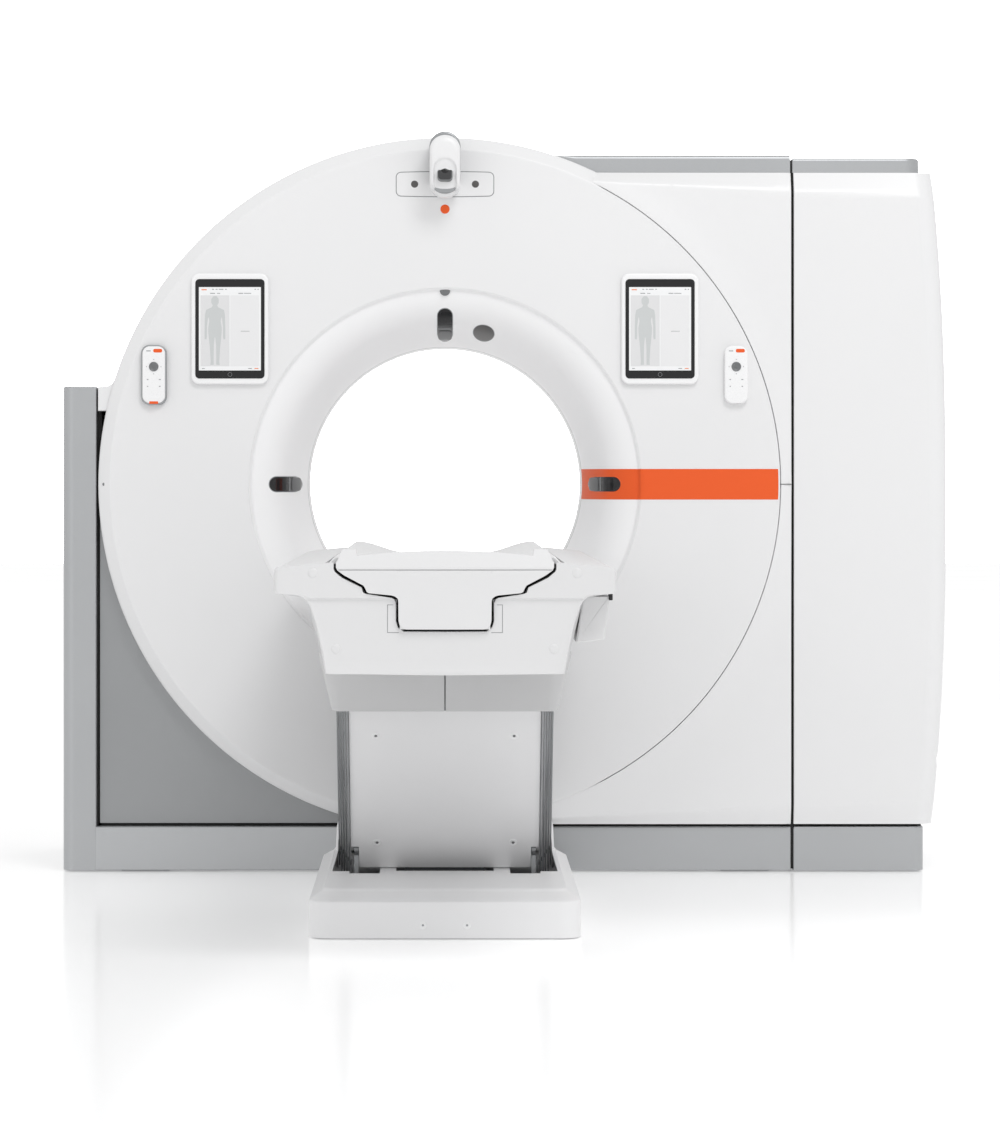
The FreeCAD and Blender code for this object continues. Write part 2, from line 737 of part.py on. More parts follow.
def build_body_covers():
    wall = d.cover_wall
    back_y = rear_y - 10
    ring = tube(
        "shroud_ring", "Y", (0, face_y + d.disc_back, d.axis_height),
        rim_r - 1, rim_r - 1 - wall, back_y - face_y - d.disc_back,
    )
    lower = box("shroud_low", (-rim_r, rim_r), (face_y, rear_y), (0, d.column_top - 60))
    right_cut = box(
        "shroud_right", (d.wing_left + 250, rim_r), (face_y, rear_y), (0, d.body_top)
    )
    shoulder = box(
        "shroud_shoulder",
        (-d.body_left, -rim_r * 0.95),
        (face_y + d.disc_back, back_y),
        (d.column_top - 60, d.column_top),
    )
    inside = rod("shroud_inside", "Y", (0, face_y, d.axis_height), rim_r - wall, d.gantry_depth)
    shoulder = cut("shroud_shoulder_ring", shoulder, inside)
    node(
        fuse("upper_shroud_whole", cut("shroud_arc", ring, lower, right_cut), shoulder),
        "upper_shroud",
    )
    side_front = wing_y + 4
    bow = d.right_bulge
    left = d.wing_right + d.seam
    chord = d.body_top - gantry_low

    def housing(name, inset, start, length):
        bow_r = (chord * chord / 4 + bow * bow) / (2 * bow)
        return pad(name, "XZ", [
            (left + inset, gantry_low + inset),
            (d.right_edge - inset, gantry_low + inset, bow_r),
            (d.right_edge - inset, gantry_low + chord - inset),
            (left + inset, gantry_low + chord - inset),
        ], start, length)

    outer = housing("housing_outer", Size(0), side_front, back_y - side_front)
    inner = housing("housing_inner", Size.of(wall), side_front + wall, d.gantry_depth)
    open_side = box(
        "housing_open",
        (left - 1, d.right_edge - 4 * wall),
        (side_front + wall, rear_y),
        (gantry_low - 1, d.body_top - 8 * wall),
    )
    node(cut("housing_shell", outer, inner, open_side), "right_side_cover")

    disc = rod("rear_disc", "Y", (0, back_y, d.axis_height), rim_r - 1, 10)
    plate = box(
        "rear_plate", (-d.body_left, d.right_edge), (back_y, rear_y), (gantry_low, d.body_top)
    )
    notch = box("rear_notch", (-d.body_left - 1, 0), (back_y - 1, rear_y + 1),
                (d.column_top, d.body_top + 1))
    hole = rod("rear_hole", "Y", (0, back_y - 1, d.axis_height), d.mouth_r, 12)
    low = box("rear_low", (-rim_r, rim_r), (back_y - 1, rear_y + 1), (0, gantry_low))
    slots = []
    for row in range(-VENT_ROWS, VENT_ROWS + 1):
        z = d.fan_height + d.vent_pitch * row - d.vent_tall / 2
        slots.append(box(f"vent_{row + VENT_ROWS}", (fan_x - d.vent_half, fan_x + d.vent_half),
                         (back_y - 1, rear_y + 1), (z, z + d.vent_tall)))
    whole = fuse("rear_whole", disc, cut("rear_notched", plate, notch))
    node(cut("rear_cut", whole, hole, low, *slots), "rear_cover")


# ---------------------------------------------------------------- gantry works

frame_top = d.base_top - 8
drum_back = d.drum_y + d.drum_plate
stator_y = drum_back + 20 + d.bearing_wide
race_in = d.bearing_r - d.bearing_ring
race_out = d.bearing_r + d.bearing_ring


def around(name, x, y, rise):
    """A block whose height is measured from the bore axis."""
    return box(name, x, y, (d.axis_height + rise[0], d.axis_height + rise[1]))


def ring(name, start, outer, inner, length):
    """A ring round the bore axis."""
    return tube(name, "Y", (0, start, d.axis_height), outer, inner, length)


def build_gantry_frame():
    bars = []
    rail_y, rail_half, cross_half = d.anchor_y / 2, 60, 40
    for side in (-1, 1):
        y = rail_y * side
        bars.append(box(f"frame_rail{side}", (-840, d.right_base_end - d.cover_wall),
                        (y - rail_half, y + rail_half),
                        (24, frame_top)))
    for x in (-d.anchor_x / 2, -d.leg_x, d.leg_x, d.anchor_x / 2, Size(1100)):
        bars.append(box(f"frame_cross{x.number:.0f}", (x - cross_half, x + cross_half),
                        (-rail_y, rail_y), (24, frame_top)))
    holes = []
    for sx in (-1, 1):
        for sy in (-1, 1):
            x, y = d.anchor_x / 2 * sx, rail_y * sy
            bars.append(box(f"anchor_pad{sx}{sy}", (x - rail_half, x + rail_half),
                            (y - rail_half, y + rail_half), (0, 25)))
            holes.append(rod(f"anchor{sx}{sy}", "Z", (x, y, -1), d.anchor_r, 200))
    for x in (200, 700):
        bars.append(box(f"cover_bracket{x}", (x, x + 60), (-rail_y - rail_half, -rail_y),
                        (frame_top - 1, gantry_low)))
    feet = []
    stem_r = 10
    for x in (-600, 600, 1050):
        for side in (-1, 1):
            y = rail_y * side
            stem = rod(f"foot_stem{x}{side}", "Z", (x, y, 10), stem_r, 50)
            disc = rod(f"foot_disc{x}{side}", "Z", (x, y, 0), 35, 12)
            nut = rod(f"foot_nut{x}{side}", "Z", (x, y, 12), 18, 12)
            feet.append(fuse(f"foot{x}{side}", stem, disc, nut))
            holes.append(rod(f"foot_hole{x}{side}", "Z", (x, y, 0), stem_r, 61))
    node(cut("frame_cut", fuse("frame_bars", *bars), *holes), "gantry_base_frame")
    node(group("feet_group", *feet), "levelling_feet")


def build_stator():
    end_y = stator_y + d.stator_wide
    rim = ring("stator_ring", stator_y, d.stator_r, race_in, d.stator_wide)
    legs = [
        box(f"stator_leg{s}", (d.leg_x * s - 110, d.leg_x * s + 110), (stator_y, end_y),
            (frame_top, d.axis_height - 250))
        for s in (-1, 1)
    ]
    opening = rod("stator_opening", "Y", (0, stator_y - 1, d.axis_height), race_in + 1,
                  d.stator_wide + 2)
    node(cut("stator_cut", fuse("stator_whole", rim, *legs), opening), "stator_frame")
    outer_race = ring("outer_race", drum_back + 20, race_out, d.bearing_r + d.pin_gap,
                      d.bearing_wide)
    node(outer_race, "bearing_outer_ring")
    brush = around("brush_head", (-50, 50), (drum_back + 41, end_y + 10), (-545, -500))
    foot = around("brush_foot", (-50, 50), (end_y, end_y + 10), (-640, -500))
    node(fuse("brush", brush, foot), "brush_block")


def build_rotor():
    front = d.drum_y - d.unit_depth
    plate = ring("drum_disc", d.drum_y, d.drum_r, d.drum_bore, d.drum_plate)
    flange = ring("drum_flange", front, d.drum_r, d.drum_r - 20, d.unit_depth + 1)
    node(fuse("drum_whole", plate, flange), "rotor_drum")
    node(ring("inner_race", drum_back, d.bearing_r, race_in, d.bearing_wide + 10),
         "bearing_inner_ring")
    node(ring("slip_tracks", drum_back, race_in - 5, race_in - 80, 40), "slip_ring")
    tube_r = 85
    can = rod("tube_can", "Y", (0, front + 5, d.axis_height + 610), tube_r, d.unit_depth - 5)
    port = around("tube_port", (-55, 55), (front + 40, d.drum_y - 40), (500, 560))
    node(fuse("tube_whole", can, port), "xray_tube")
    node(around("jaws", (-90, 90), (front + 30, d.drum_y), (435, 500)), "collimator")
    node(around("cooler", (230, 470), (front + 20, d.drum_y), (420, 580)), "tube_cooler")
    node(around("high_voltage", (-690, -450), (front + 10, d.drum_y), (-190, 210)),
         "hv_generator")
    node(around("data_box", (470, 690), (front + 10, d.drum_y), (-160, 220)), "data_module")
    arc = tube("detector_ring", "Y", (0, front + 20, d.axis_height + 610), 1110, 1030,
               d.unit_depth - 20)
    window = around("detector_window", (-360, 360), (front, 0), (-700, -250))
    node(common("detector_shape", arc, window), "detector_arc")
    weights = [
        around(f"weight{s}", (s * 480 - 60, s * 480 + 60), (front + 80, d.drum_y), (-480, -400))
        for s in (-1, 1)
    ]
    node(group("weight_group", *weights), "balance_weights")


def build_service_units():
    left, right, top, sheet = units_left, units_right, d.cabinet_top, d.cabinet_sheet
    long = d.cabinet_half
    case = box("cabinet_case", (left, right), (-long, long), (frame_top, top))
    room = box("cabinet_room", (left + sheet, right - sheet), (sheet - long, long - sheet),
               (frame_top + sheet, top - sheet))
    node(cut("cabinet", case, room), "control_cabinet")
    fan_z, half, deep = d.fan_height, d.fan_half, d.fan_deep
    fan_y = rear_y - 75
    frame = box("fan_frame", (fan_x - half, fan_x + half), (fan_y, fan_y + deep),
                (fan_z - half, fan_z + half))
    mouth = rod("fan_mouth", "Y", (fan_x, fan_y - 1, fan_z), d.fan_mouth_r, deep + 2)
    stays = [
        box("fan_stay_flat", (fan_x - half + 2, fan_x + half - 2), (fan_y, fan_y + 8),
            (fan_z - 10, fan_z + 10)),
        box("fan_stay_tall", (fan_x - 10, fan_x + 10), (fan_y, fan_y + 8),
            (fan_z - half + 2, fan_z + half - 2)),
        rod("fan_axle", "Y", (fan_x, fan_y, fan_z), d.pin_r, 50),
        box("fan_foot", (fan_x - 40, fan_x + 40), (260, fan_y + deep), (top - 1, top + 12)),
    ]
    foot_trim = box("fan_foot_trim", (left, right), (250, rear_y), (top - 100, top))
    housing = fuse("fan_ring", cut("fan_open", frame, mouth), *stays)
    node(cut("fan_trimmed", housing, foot_trim), "fan_housing")
    hub = rod("fan_hub", "Y", (fan_x, fan_y + 12, fan_z), 38, 34)
    blades = []
    for i in range(7):
        blade = box(f"fan_blade{i}", (-12, 12), (0, 4), (30, 120))
        blade.Placement = FreeCAD.Placement(
            FreeCAD.Vector(), FreeCAD.Rotation(FreeCAD.Vector(0, 0, 1), 35)
        ).multiply(blade.Placement)
        arm = group(f"fan_arm{i}", blade)
        arm.Placement = FreeCAD.Placement(
            FreeCAD.Vector(), FreeCAD.Rotation(FreeCAD.Vector(0, 1, 0), i * 360 / 7)
        )
        blades.append(place(arm, fan_x, fan_y + 28, fan_z))
    bore = rod("fan_bore", "Y", (fan_x, fan_y, fan_z), d.pin_r + d.pin_gap, deep)
    node(cut("fan_cut", fuse("fan_whole", hub, *blades), bore), "cooling_fan")


def build_instruments():
    plate_z = d.axis_height + d.plate_rise
    node(
        slab("sensor_slab", (-d.plate_wide / 2, d.plate_wide / 2),
             (face_y - 1, face_y + d.cover_wall),
             (plate_z - d.plate_high / 2, plate_z + d.plate_high / 2),
             corner=d.plate_corner),
        "sensor_plate",
    )
    camera_z = d.axis_height + d.camera_rise
    half = d.camera_wide / 2
    node(
        slab("camera_slab", (-half, half), (face_y - d.camera_reach, face_y - 1),
             (camera_z - d.camera_high / 2, camera_z + d.camera_high / 2),
             corner=half - 1, rim=10),
        "camera_head",
    )
    trays, tablets, remotes = [], [], []
    for side, word in ((-1, "left"), (1, "right")):
        x, z = d.tablet_x * side, d.axis_height + d.tablet_rise
        tray = slab(f"tray_{word}", (x - d.tray_wide / 2, x + d.tray_wide / 2),
                    (face_y - d.tray_thick, face_y),
                    (z - d.tray_high / 2, z + d.tray_high / 2), corner=18, rim=4)
        front = face_y - d.tray_thick - 0.5
        pocket = slab(f"tray_pocket_{word}",
                      (x - d.tablet_wide / 2 - d.fit_gap, x + d.tablet_wide / 2 + d.fit_gap),
                      (front - 5, front + d.tablet_thick),
                      (z - d.tablet_high / 2 - d.fit_gap, z + d.tablet_high / 2 + d.fit_gap),
                      corner=11)
        trays.append(cut(f"tray_cut_{word}", tray, pocket))
        tablets.append(slab(f"tablet_{word}", (x - d.tablet_wide / 2, x + d.tablet_wide / 2),
                            (front, front + d.tablet_thick),
                            (z - d.tablet_high / 2, z + d.tablet_high / 2), corner=10, rim=1))
        x, z = d.remote_x * side, d.axis_height + d.remote_rise
        shell = slab(f"remote_slab_{word}", (x - d.remote_wide / 2, x + d.remote_wide / 2),
                     (face_y - d.remote_thick, face_y),
                     (z - d.remote_high / 2, z + d.remote_high / 2), corner=20, rim=5)
        key_z = z + 20
        key_front = face_y - d.remote_thick - 2
        well = rod(f"key_well_{word}", "Y", (x, key_front, key_z), d.key_r + 0.3, 8)
        remotes.append(cut(f"remote_cut_{word}", shell, well))
        key = rod(f"key_{word}", "Y", (x, key_front, key_z), d.key_r, 8 - d.key_travel - 0.2)
        node(key, f"remote_key_{word}")
    node(group("tray_group", *trays), "tablet_trays")
    node(group("tablet_group", *tablets), "tablets")
    node(group("remote_group", *remotes), "remote_controls")


# ---------------------------------------------------------------- table base and lift


def build_table_base():
    front, wall = -d.base_front, d.cover_wall
    rear = face_y
    skirt = slab("base_skirt", (-d.base_half, d.base_half), (front, -d.hump_front),
                 (0, d.base_side), corner=d.base_round, plane="XY")
    tail = box("base_tail", (-d.hump_half, d.hump_half), (-d.hump_front - 40, rear),
               (0, d.hump_top))
    deck = pad("base_deck", "YZ", [
        (front + 4, d.base_side),
        (front + d.bevel_run, d.plateau),
        (-d.hump_front, d.plateau),
        (-d.hump_front, d.base_side),
    ], -d.plateau_half, 2 * d.plateau_half)
    outer = fuse("base_outer", skirt, deck, tail)
    hollow = slab("base_hollow", (-d.base_half + wall, d.base_half - wall),
                  (front + wall, -d.hump_front - wall), (-1, d.base_side - wall),
                  corner=d.base_round - wall, plane="XY")
    attic = box("base_attic", (-d.plateau_half + wall, d.plateau_half - wall),
                (front + d.bevel_run, -d.hump_front), (0, d.plateau - wall))
    tail_hollow = box("base_tail_hollow", (-d.hump_half + wall, d.hump_half - wall),
                      (-d.hump_front - 60, rear + 1), (-1, d.plateau - wall))
    tail_attic = box("base_tail_attic", (-d.hump_half + wall, d.hump_half - wall),
                     (-d.hump_front - 40 + wall, rear + 1), (-1, d.hump_top - wall))
    wells = []
    for name, y in (("front", -d.front_pivot), ("rear", -d.rear_pivot)):
        for s in (-1, 1):
            x = d.arm_half * s
            wells.append(box(f"well_{name}{s}", (x - 34, x + 34), (y - 125, y + 60), (60, 300)))
    wells.append(box("motor_well", (-110, 110), (-d.front_pivot - 60, -d.front_pivot + 130),
                     (60, 300)))
    slat_last = -d.slat_first + d.slat_pitch * 4
    slat_end = d.slat_x + d.slat_step * 4 + d.slat_thick + 4
    for s in (-1, 1):
        span = (d.slat_x - 6, slat_end) if s > 0 else (-slat_end, -d.slat_x + 6)
        wells.append(box(f"slat_well{s}", span, (-d.slat_first - 112, slat_last + 55), (60, 300)))
    node(cut("base_shell", outer, hollow, attic, tail_hollow, tail_attic, *wells),
         "table_base_cover")


def lift_eye(name, x, y, wide, height):
    """A post with a round head, standing on the floor plate."""
    head = rod(name + "_head", "X", (x - wide / 2, y, height), 20, wide)
    stem = box(name + "_stem", (x - wide / 2, x + wide / 2), (y - 14, y + 14),
               (d.floor_plate, height))
    return fuse(name, head, stem)


def build_lift_base():
    parts = [
        box("floor_slab", (d.cover_wall - d.base_half, d.base_half - d.cover_wall),
            (-d.front_pivot - 350, -d.hump_front - 50), (2, d.floor_plate)),
        box("floor_tongue", (-245, 245), (-d.hump_front - 51, -d.rear_pivot + 180),
            (2, d.floor_plate)),
    ]
    post_wide = 10
    outer = d.arm_half + d.arm_wide / 2 + 1
    for name, y in (("front", -d.front_pivot), ("rear", -d.rear_pivot)):
        for s in (-1, 1):
            x = (outer + post_wide / 2) * s
            parts.append(lift_eye(f"post_{name}{s}", x, y, post_wide, d.pivot_height))
            start = outer * s if s < 0 else d.arm_half - d.arm_wide / 2
            parts.append(rod(f"post_pin_{name}{s}", "X", (start, y, d.pivot_height),
                             d.pin_r, d.arm_wide + 1))
    for i in range(5):
        y, x = -d.slat_first + d.slat_pitch * i, d.slat_x + d.slat_step * i
        for s in (-1, 1):
            span = (x - 4.5, x - 1.5) if s > 0 else (1.5 - x, 4.5 - x)
            start = x - 4 if s > 0 else -x - d.slat_thick - 1.5
            parts.append(box(f"slat_post{i}{s}", span, (y - 8, y + 8),
                             (d.floor_plate - 1, d.slat_height + 8)))
            parts.append(rod(f"slat_pin{i}{s}", "X", (start, y, d.slat_height), 5,
                             d.slat_thick + 5.5))
    node(fuse("floor_whole", *parts), "table_floor_frame")
    motor = fuse(
        "motor_whole",
        rod("motor_can", "Y", (0, -d.front_pivot + 60, 54), 38, 200),
        box("motor_gears", (-90, 90), (-d.front_pivot + 30, -d.front_pivot + 100),
            (d.floor_plate, d.pivot_height + 20)),
    )
    node(motor, "lift_gear_motor")


def leaning(obj, x, y, z):
    """Lean an upright piece forward about its lower pivot."""
    obj.Placement = FreeCAD.Placement(
        FreeCAD.Vector(), FreeCAD.Rotation(FreeCAD.Vector(1, 0, 0), d.arm_lean.number)
    )
    obj.setExpression("Placement.Rotation.Angle", d.arm_lean.text)
    return place(obj, x, y, z)


def build_arm(name, y):
    """An H-shaped frame of two arms and two cross tubes, pivoted at both ends."""
    parts, bores = [], []
    half = d.arm_deep / 2
    for s in (-1, 1):
        x = d.arm_half * s
        low, high = x - d.arm_wide / 2, x + d.arm_wide / 2
        parts.append(box(f"{name}_beam{s}", (low, high), (-half, half), (0, d.arm_len)))
        for i, z in enumerate((0, d.arm_len)):
            parts.append(rod(f"{name}_eye{s}{i}", "X", (low, 0, z), half, d.arm_wide))
            bores.append(rod(f"{name}_bore{s}{i}", "X", (low - 1, 0, z),
                             d.pin_r + d.pin_gap, d.arm_wide + 2))
    for i, z in enumerate((150, d.arm_len - 90)):
        parts.append(rod(f"{name}_tie{i}", "X", (-d.arm_half, 0, z), 14, 2 * d.arm_half))
    whole = cut(name + "_cut", fuse(name + "_parts", *parts), *bores)
    return leaning(whole, 0, -y, d.pivot_height)


def build_lift():
    node(build_arm("front_arm", d.front_pivot), "front_arm_frame")
    node(build_arm("rear_arm", d.rear_pivot), "rear_arm_frame")
    half = d.arm_deep / 2
    cover = box("plate_slab", (-d.plate_half, d.plate_half), (-half - 6, -half - 2), (-34, 470))
    corners = [
        box(f"plate_notch{s}", (d.plate_half - 18, d.plate_half + 1) if s > 0
            else (-d.plate_half - 1, 18 - d.plate_half), (-half - 7, -half - 1), (-35, 26))
        for s in (-1, 1)
    ]
    blocks = [
        box(f"plate_block{s}{i}", (d.arm_half * s - 10, d.arm_half * s + 10), (-half - 3, -half),
            (z - 12, z + 12))
        for s in (-1, 1) for i, z in enumerate((60, 330))
    ]
    plate = fuse("plate_whole", cut("plate_notched", cover, *corners), *blocks)
    node(leaning(plate, 0, -d.front_pivot, d.pivot_height), "lift_cover_plate")
    for i in range(5):
        x = d.slat_x + d.slat_step * i
        sheets, bores = [], []
        for s in (-1, 1):
            low = x if s > 0 else -x - d.slat_thick
            sheets.append(box(f"slat{i}{s}", (low, low + d.slat_thick),
                              (-d.slat_half, d.slat_half), (-14, d.slat_len)))
            bores.append(rod(f"slat_bore{i}{s}", "X", (low - 1, 0, 0), 5 + d.pin_gap,
                             d.slat_thick + 2))
        pair = cut(f"slat_cut{i}", group(f"slat_pair{i}", *sheets), *bores)
        y = -d.slat_first + d.slat_pitch * i
        node(leaning(pair, 0, y, d.slat_height), f"side_slats_{i + 1}")


# ---------------------------------------------------------------- table body

def table_half(side, inset=0):
    """Corners of the table body's outer section on one side, from the top inwards."""
    return [
        (side * (d.crown_half - inset), d.crown_top - inset),
        (side * (d.band_half - inset), d.band_top - inset),
        (side * (d.band_half - inset), d.band_low + inset),
        (side * (d.body_half_top - inset), d.band_low - 9 + inset),
        (side * (d.body_half_low - inset), d.body_low + inset),
    ]


def build_table_body():
    front, rear = -d.table_front, -d.table_rear
    cover_front = front + d.end_thick
    wall = d.cover_wall
    for side, word in ((-1, "left"), (1, "right")):
        outline = table_half(Size(side))
        inner = table_half(Size(side), wall)
        shell = pad(f"side_outer_{word}", "XZ",
                    outline + [(side * 190, d.body_low), (side * 190, d.crown_top)],
                    cover_front, rear - cover_front)
        hollow = pad(f"side_inner_{word}", "XZ",
                     inner + [(side * 180, d.body_low + wall), (side * 180, d.crown_top - wall)],
                     cover_front - 1, rear - cover_front + 1 - wall)
        mouth = box(f"side_mouth_{word}", (0, 240) if side > 0 else (-240, 0),
                    (cover_front - 1, rear + 1), (d.band_low - 20, d.crown_top + 1))
        inner_side = box(f"side_open_{word}", (0, 195) if side > 0 else (-195, 0),
                         (cover_front - 1, rear + 1), (d.body_low - 1, d.crown_top))
        node(cut(f"side_cut_{word}", shell, hollow, mouth, inner_side),
             f"table_side_cover_{word}")
    right, left = table_half(Size(1)), table_half(Size(-1))
    solid = pad("end_solid", "XZ", right + left[::-1], front, d.end_thick)
    gap = d.cradle_gap
    notch = pad("end_notch", "XZ", cradle_section(gap), front - 1, d.end_thick + 2)
    node(cut("end_cut", solid, notch), "table_end_cover")


def cradle_section(grow=0):
    """The outline of the cradle's front end, grown all round by a gap."""
    half = [
        (d.keel_half + grow, d.keel_low - grow),
        (d.keel_half + 9 + grow, 743 - grow),
        (152 + grow, 753 - grow),
        (160 + grow, 767 - grow),
        (200 + grow, 788 - grow),
        (215 + grow, 800 - grow),
        (217 + grow, 860),
    ]
    mirrored = [(-Size.of(x), z) for x, z in half[::-1]]
    return [(Size.of(x), Size.of(z)) for x, z in half] + mirrored


def build_chassis():
    front, rear = -d.table_front + d.end_thick, -d.table_rear - 10
    parts = []
    for s in (-1, 1):
        parts.append(box(f"chassis_beam{s}", (s * 150 - 38, s * 150 + 38), (front, rear),
                         (640, 724)))
    parts.append(box("chassis_deck", (-188, 188), (front, rear), (628, 641)))
    top = d.pivot_height + d.arm_len * cosine(d.arm_lean)
    run = d.arm_len * sine(d.arm_lean)
    for name, pivot in (("front", d.front_pivot), ("rear", d.rear_pivot)):
        y = -pivot - run
        gap = d.pin_gap if name == "front" else 1.0
        for s in (-1, 1):
            x = (d.arm_half - d.arm_wide / 2 - 6) * s
            parts.append(box(f"hanger_{name}{s}", (x - 5, x + 5), (y - 22, y + 22),
                             (top - 20, 641)))
            inner = d.arm_half - d.arm_wide / 2 - 2
            start = inner if s > 0 else -inner - d.arm_wide - 2
            parts.append(rod(f"hanger_pin_{name}{s}", "X", (start, y, top),
                             d.pin_r + d.pin_gap - gap, d.arm_wide + 2))
    node(fuse("chassis_whole", *parts), "table_chassis")
    rails = [
        box(f"rail{s}", (s * 122 - 12, s * 122 + 12), (front, rear), (724, d.rail_top))
        for s in (-1, 1)
    ]
    node(group("rail_group", *rails), "guide_rails")
    node(box("rack", (-12, 12), (front, rear), (641, 655)), "feed_rack")


def build_shroud():
    wall = d.cover_wall
    front, rear = -d.shroud_front, -d.shroud_rear
    low, top = d.shroud_low, d.body_low
    for side, word in ((-1, "left"), (1, "right")):
        s = Size(side)
        outline = [(s * 0.5, front), (s * d.shroud_half_front, front),
                   (s * d.shroud_half_rear, rear), (s * 0.5, rear)]
        inner = [(s * 0.4, front + wall), (s * (d.shroud_half_front - wall), front + wall),
                 (s * (d.shroud_half_rear - wall), rear - wall), (s * 0.4, rear - wall)]
        shell = pad(f"shroud_outer_{word}", "XY", outline, low, top - low)
        hollow = pad(f"shroud_inner_{word}", "XY", inner, low - 1, top - low + 1 - wall)
        opening = box(f"shroud_opening_{word}", (-200, 200), (front + wall, rear - wall),
                      (low, top + 1))
        node(cut(f"shroud_cut_{word}", shell, hollow, opening), f"lower_shroud_{word}")


def build_cradle():
    front, wall = -d.table_front, d.cover_wall
    board_front = front + d.end_thick + 2
    floor, rim, thick = d.board_floor, d.board_rim, d.board_thick
    half = [(0, floor - thick), (130, floor - thick + 3), (200, rim - thick - 3),
            (d.board_half, rim - 16), (d.board_half, rim - 12), (215, rim), (205, rim),
            (135, floor + 3), (0, floor)]
    right = [(Size.of(x), Size.of(z)) for x, z in half]
    left = [(-x, z) for x, z in right[1:-1][::-1]]
    node(pad("board", "XZ", right + left, board_front, -d.table_rear - board_front), "cradle_board")
    cap = pad("cap_section", "XZ", cradle_section(), front - 4, d.end_thick + 6)
    top = pad("cap_top", "XZ", [
        (-250, 900), (-250, 815), (-217, 815), (-205, 838), (-178, 840), (-150, 836), (0, 836),
        (150, 836), (178, 840), (205, 838), (217, 815), (250, 815), (250, 900),
    ], front - 6, d.end_thick + 10)
    low = box("cap_low", (-160, 160), (front - 6, front + d.end_thick + 3),
              (600, d.keel_low + 62))
    node(cut("cap_cut", cap, top, low), "cradle_end_cap")
    keel = box("keel_box", (-d.keel_half, d.keel_half), (front - 2, front + d.keel_len),
               (d.keel_low, d.keel_low + 61.5))
    tray = box("keel_tray", (-140, 140), (board_front, front + d.keel_len + 1500),
               (d.rail_top + 0.3, floor - thick))
    node(fuse("keel_whole", keel, tray), "cradle_keel")


build_front_cover()
build_mouths()
build_silver_covers()
build_body_covers()
build_gantry_frame()
build_stator()
build_rotor()
build_service_units()
build_instruments()
build_table_base()
build_lift_base()
build_lift()
build_table_body()
build_chassis()
build_shroud()
build_cradle()
doc.recompute()

broken = [o.Name for o in doc.Objects if "Invalid" in o.State or "Error" in o.State]
if broken:
    raise RuntimeError(f"features that failed: {broken}")
os.makedirs("parts", exist_ok=True)
for label, obj in nodes.items():
    shape = obj.Shape
    if shape.isNull() or not shape.isValid() or not shape.Solids:
        raise RuntimeError(f"{label} has no valid shape")
    shape.exportStep(f"parts/{label}.step")
    print(f"{label}: {len(shape.Solids)} solids, {shape.Volume / 1e6:.3f} l")
print(len(nodes), "nodes")
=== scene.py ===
import bmesh
import bpy
import numpy as np
from bpy.props import FloatProperty, FloatVectorProperty, PointerProperty
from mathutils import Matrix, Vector


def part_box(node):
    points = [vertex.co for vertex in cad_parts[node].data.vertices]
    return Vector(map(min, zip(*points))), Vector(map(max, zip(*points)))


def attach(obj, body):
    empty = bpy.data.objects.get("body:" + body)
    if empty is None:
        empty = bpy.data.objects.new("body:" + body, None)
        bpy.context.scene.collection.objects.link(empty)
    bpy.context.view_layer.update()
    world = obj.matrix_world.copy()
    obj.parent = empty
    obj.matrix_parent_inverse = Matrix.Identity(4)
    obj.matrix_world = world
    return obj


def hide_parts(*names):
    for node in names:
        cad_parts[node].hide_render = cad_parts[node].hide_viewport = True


bl_info = {
    "name": "CT scanner builder",
    "version": (1, 0, 0),
    "blender": (4, 5, 0),
    "location": "View3D > Sidebar > CT scanner",
    "description": "Builds the covers, instruments and patient table of a CT scanner round its frame",
    "category": "Object",
}

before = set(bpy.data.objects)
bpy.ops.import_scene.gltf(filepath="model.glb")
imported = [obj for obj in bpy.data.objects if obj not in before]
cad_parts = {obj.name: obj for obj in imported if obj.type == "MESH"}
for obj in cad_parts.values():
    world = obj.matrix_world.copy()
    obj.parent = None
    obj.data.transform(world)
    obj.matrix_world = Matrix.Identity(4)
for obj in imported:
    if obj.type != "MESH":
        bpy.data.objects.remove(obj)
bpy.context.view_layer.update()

MM = 0.001


def edge(node, axis, high=False):
    """One side of a frame node's box, in millimetres."""
    low_corner, high_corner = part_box(node)
    return (high_corner if high else low_corner)["XYZ".index(axis)] / MM


FACE = edge("front_mouth_ring", "Y")
REAR = edge("rear_cover", "Y", True)
AXIS = (edge("bore_liner", "Z") + edge("bore_liner", "Z", True)) / 2
BASE = "scanner_base"
BACK = REAR - 10  # rear edge of the side covers, in front of the rear cover
SILVER = FACE + 40  # front of the silver covers
LAP = FACE + 119  # where the front cover's flange meets the shroud
FOOT = 4  # floor clearance of the silver covers
PIVOT = (0, -1400, 145)  # the front arm's lower pivot
FLOOR_WIDTH = 80  # metres
BACKDROP = 4  # brightness of the surroundings behind the object


# ------------------------------------------------------------------ properties


def length(label, default, about):
    """A size held in millimetres."""
    return FloatProperty(name=label, description=about, default=default, min=0, unit="NONE")


def colour(label, default, about):
    """A linear colour."""
    return FloatVectorProperty(
        name=label, description=about, default=default, size=3, min=0, max=1, subtype="COLOR"
    )


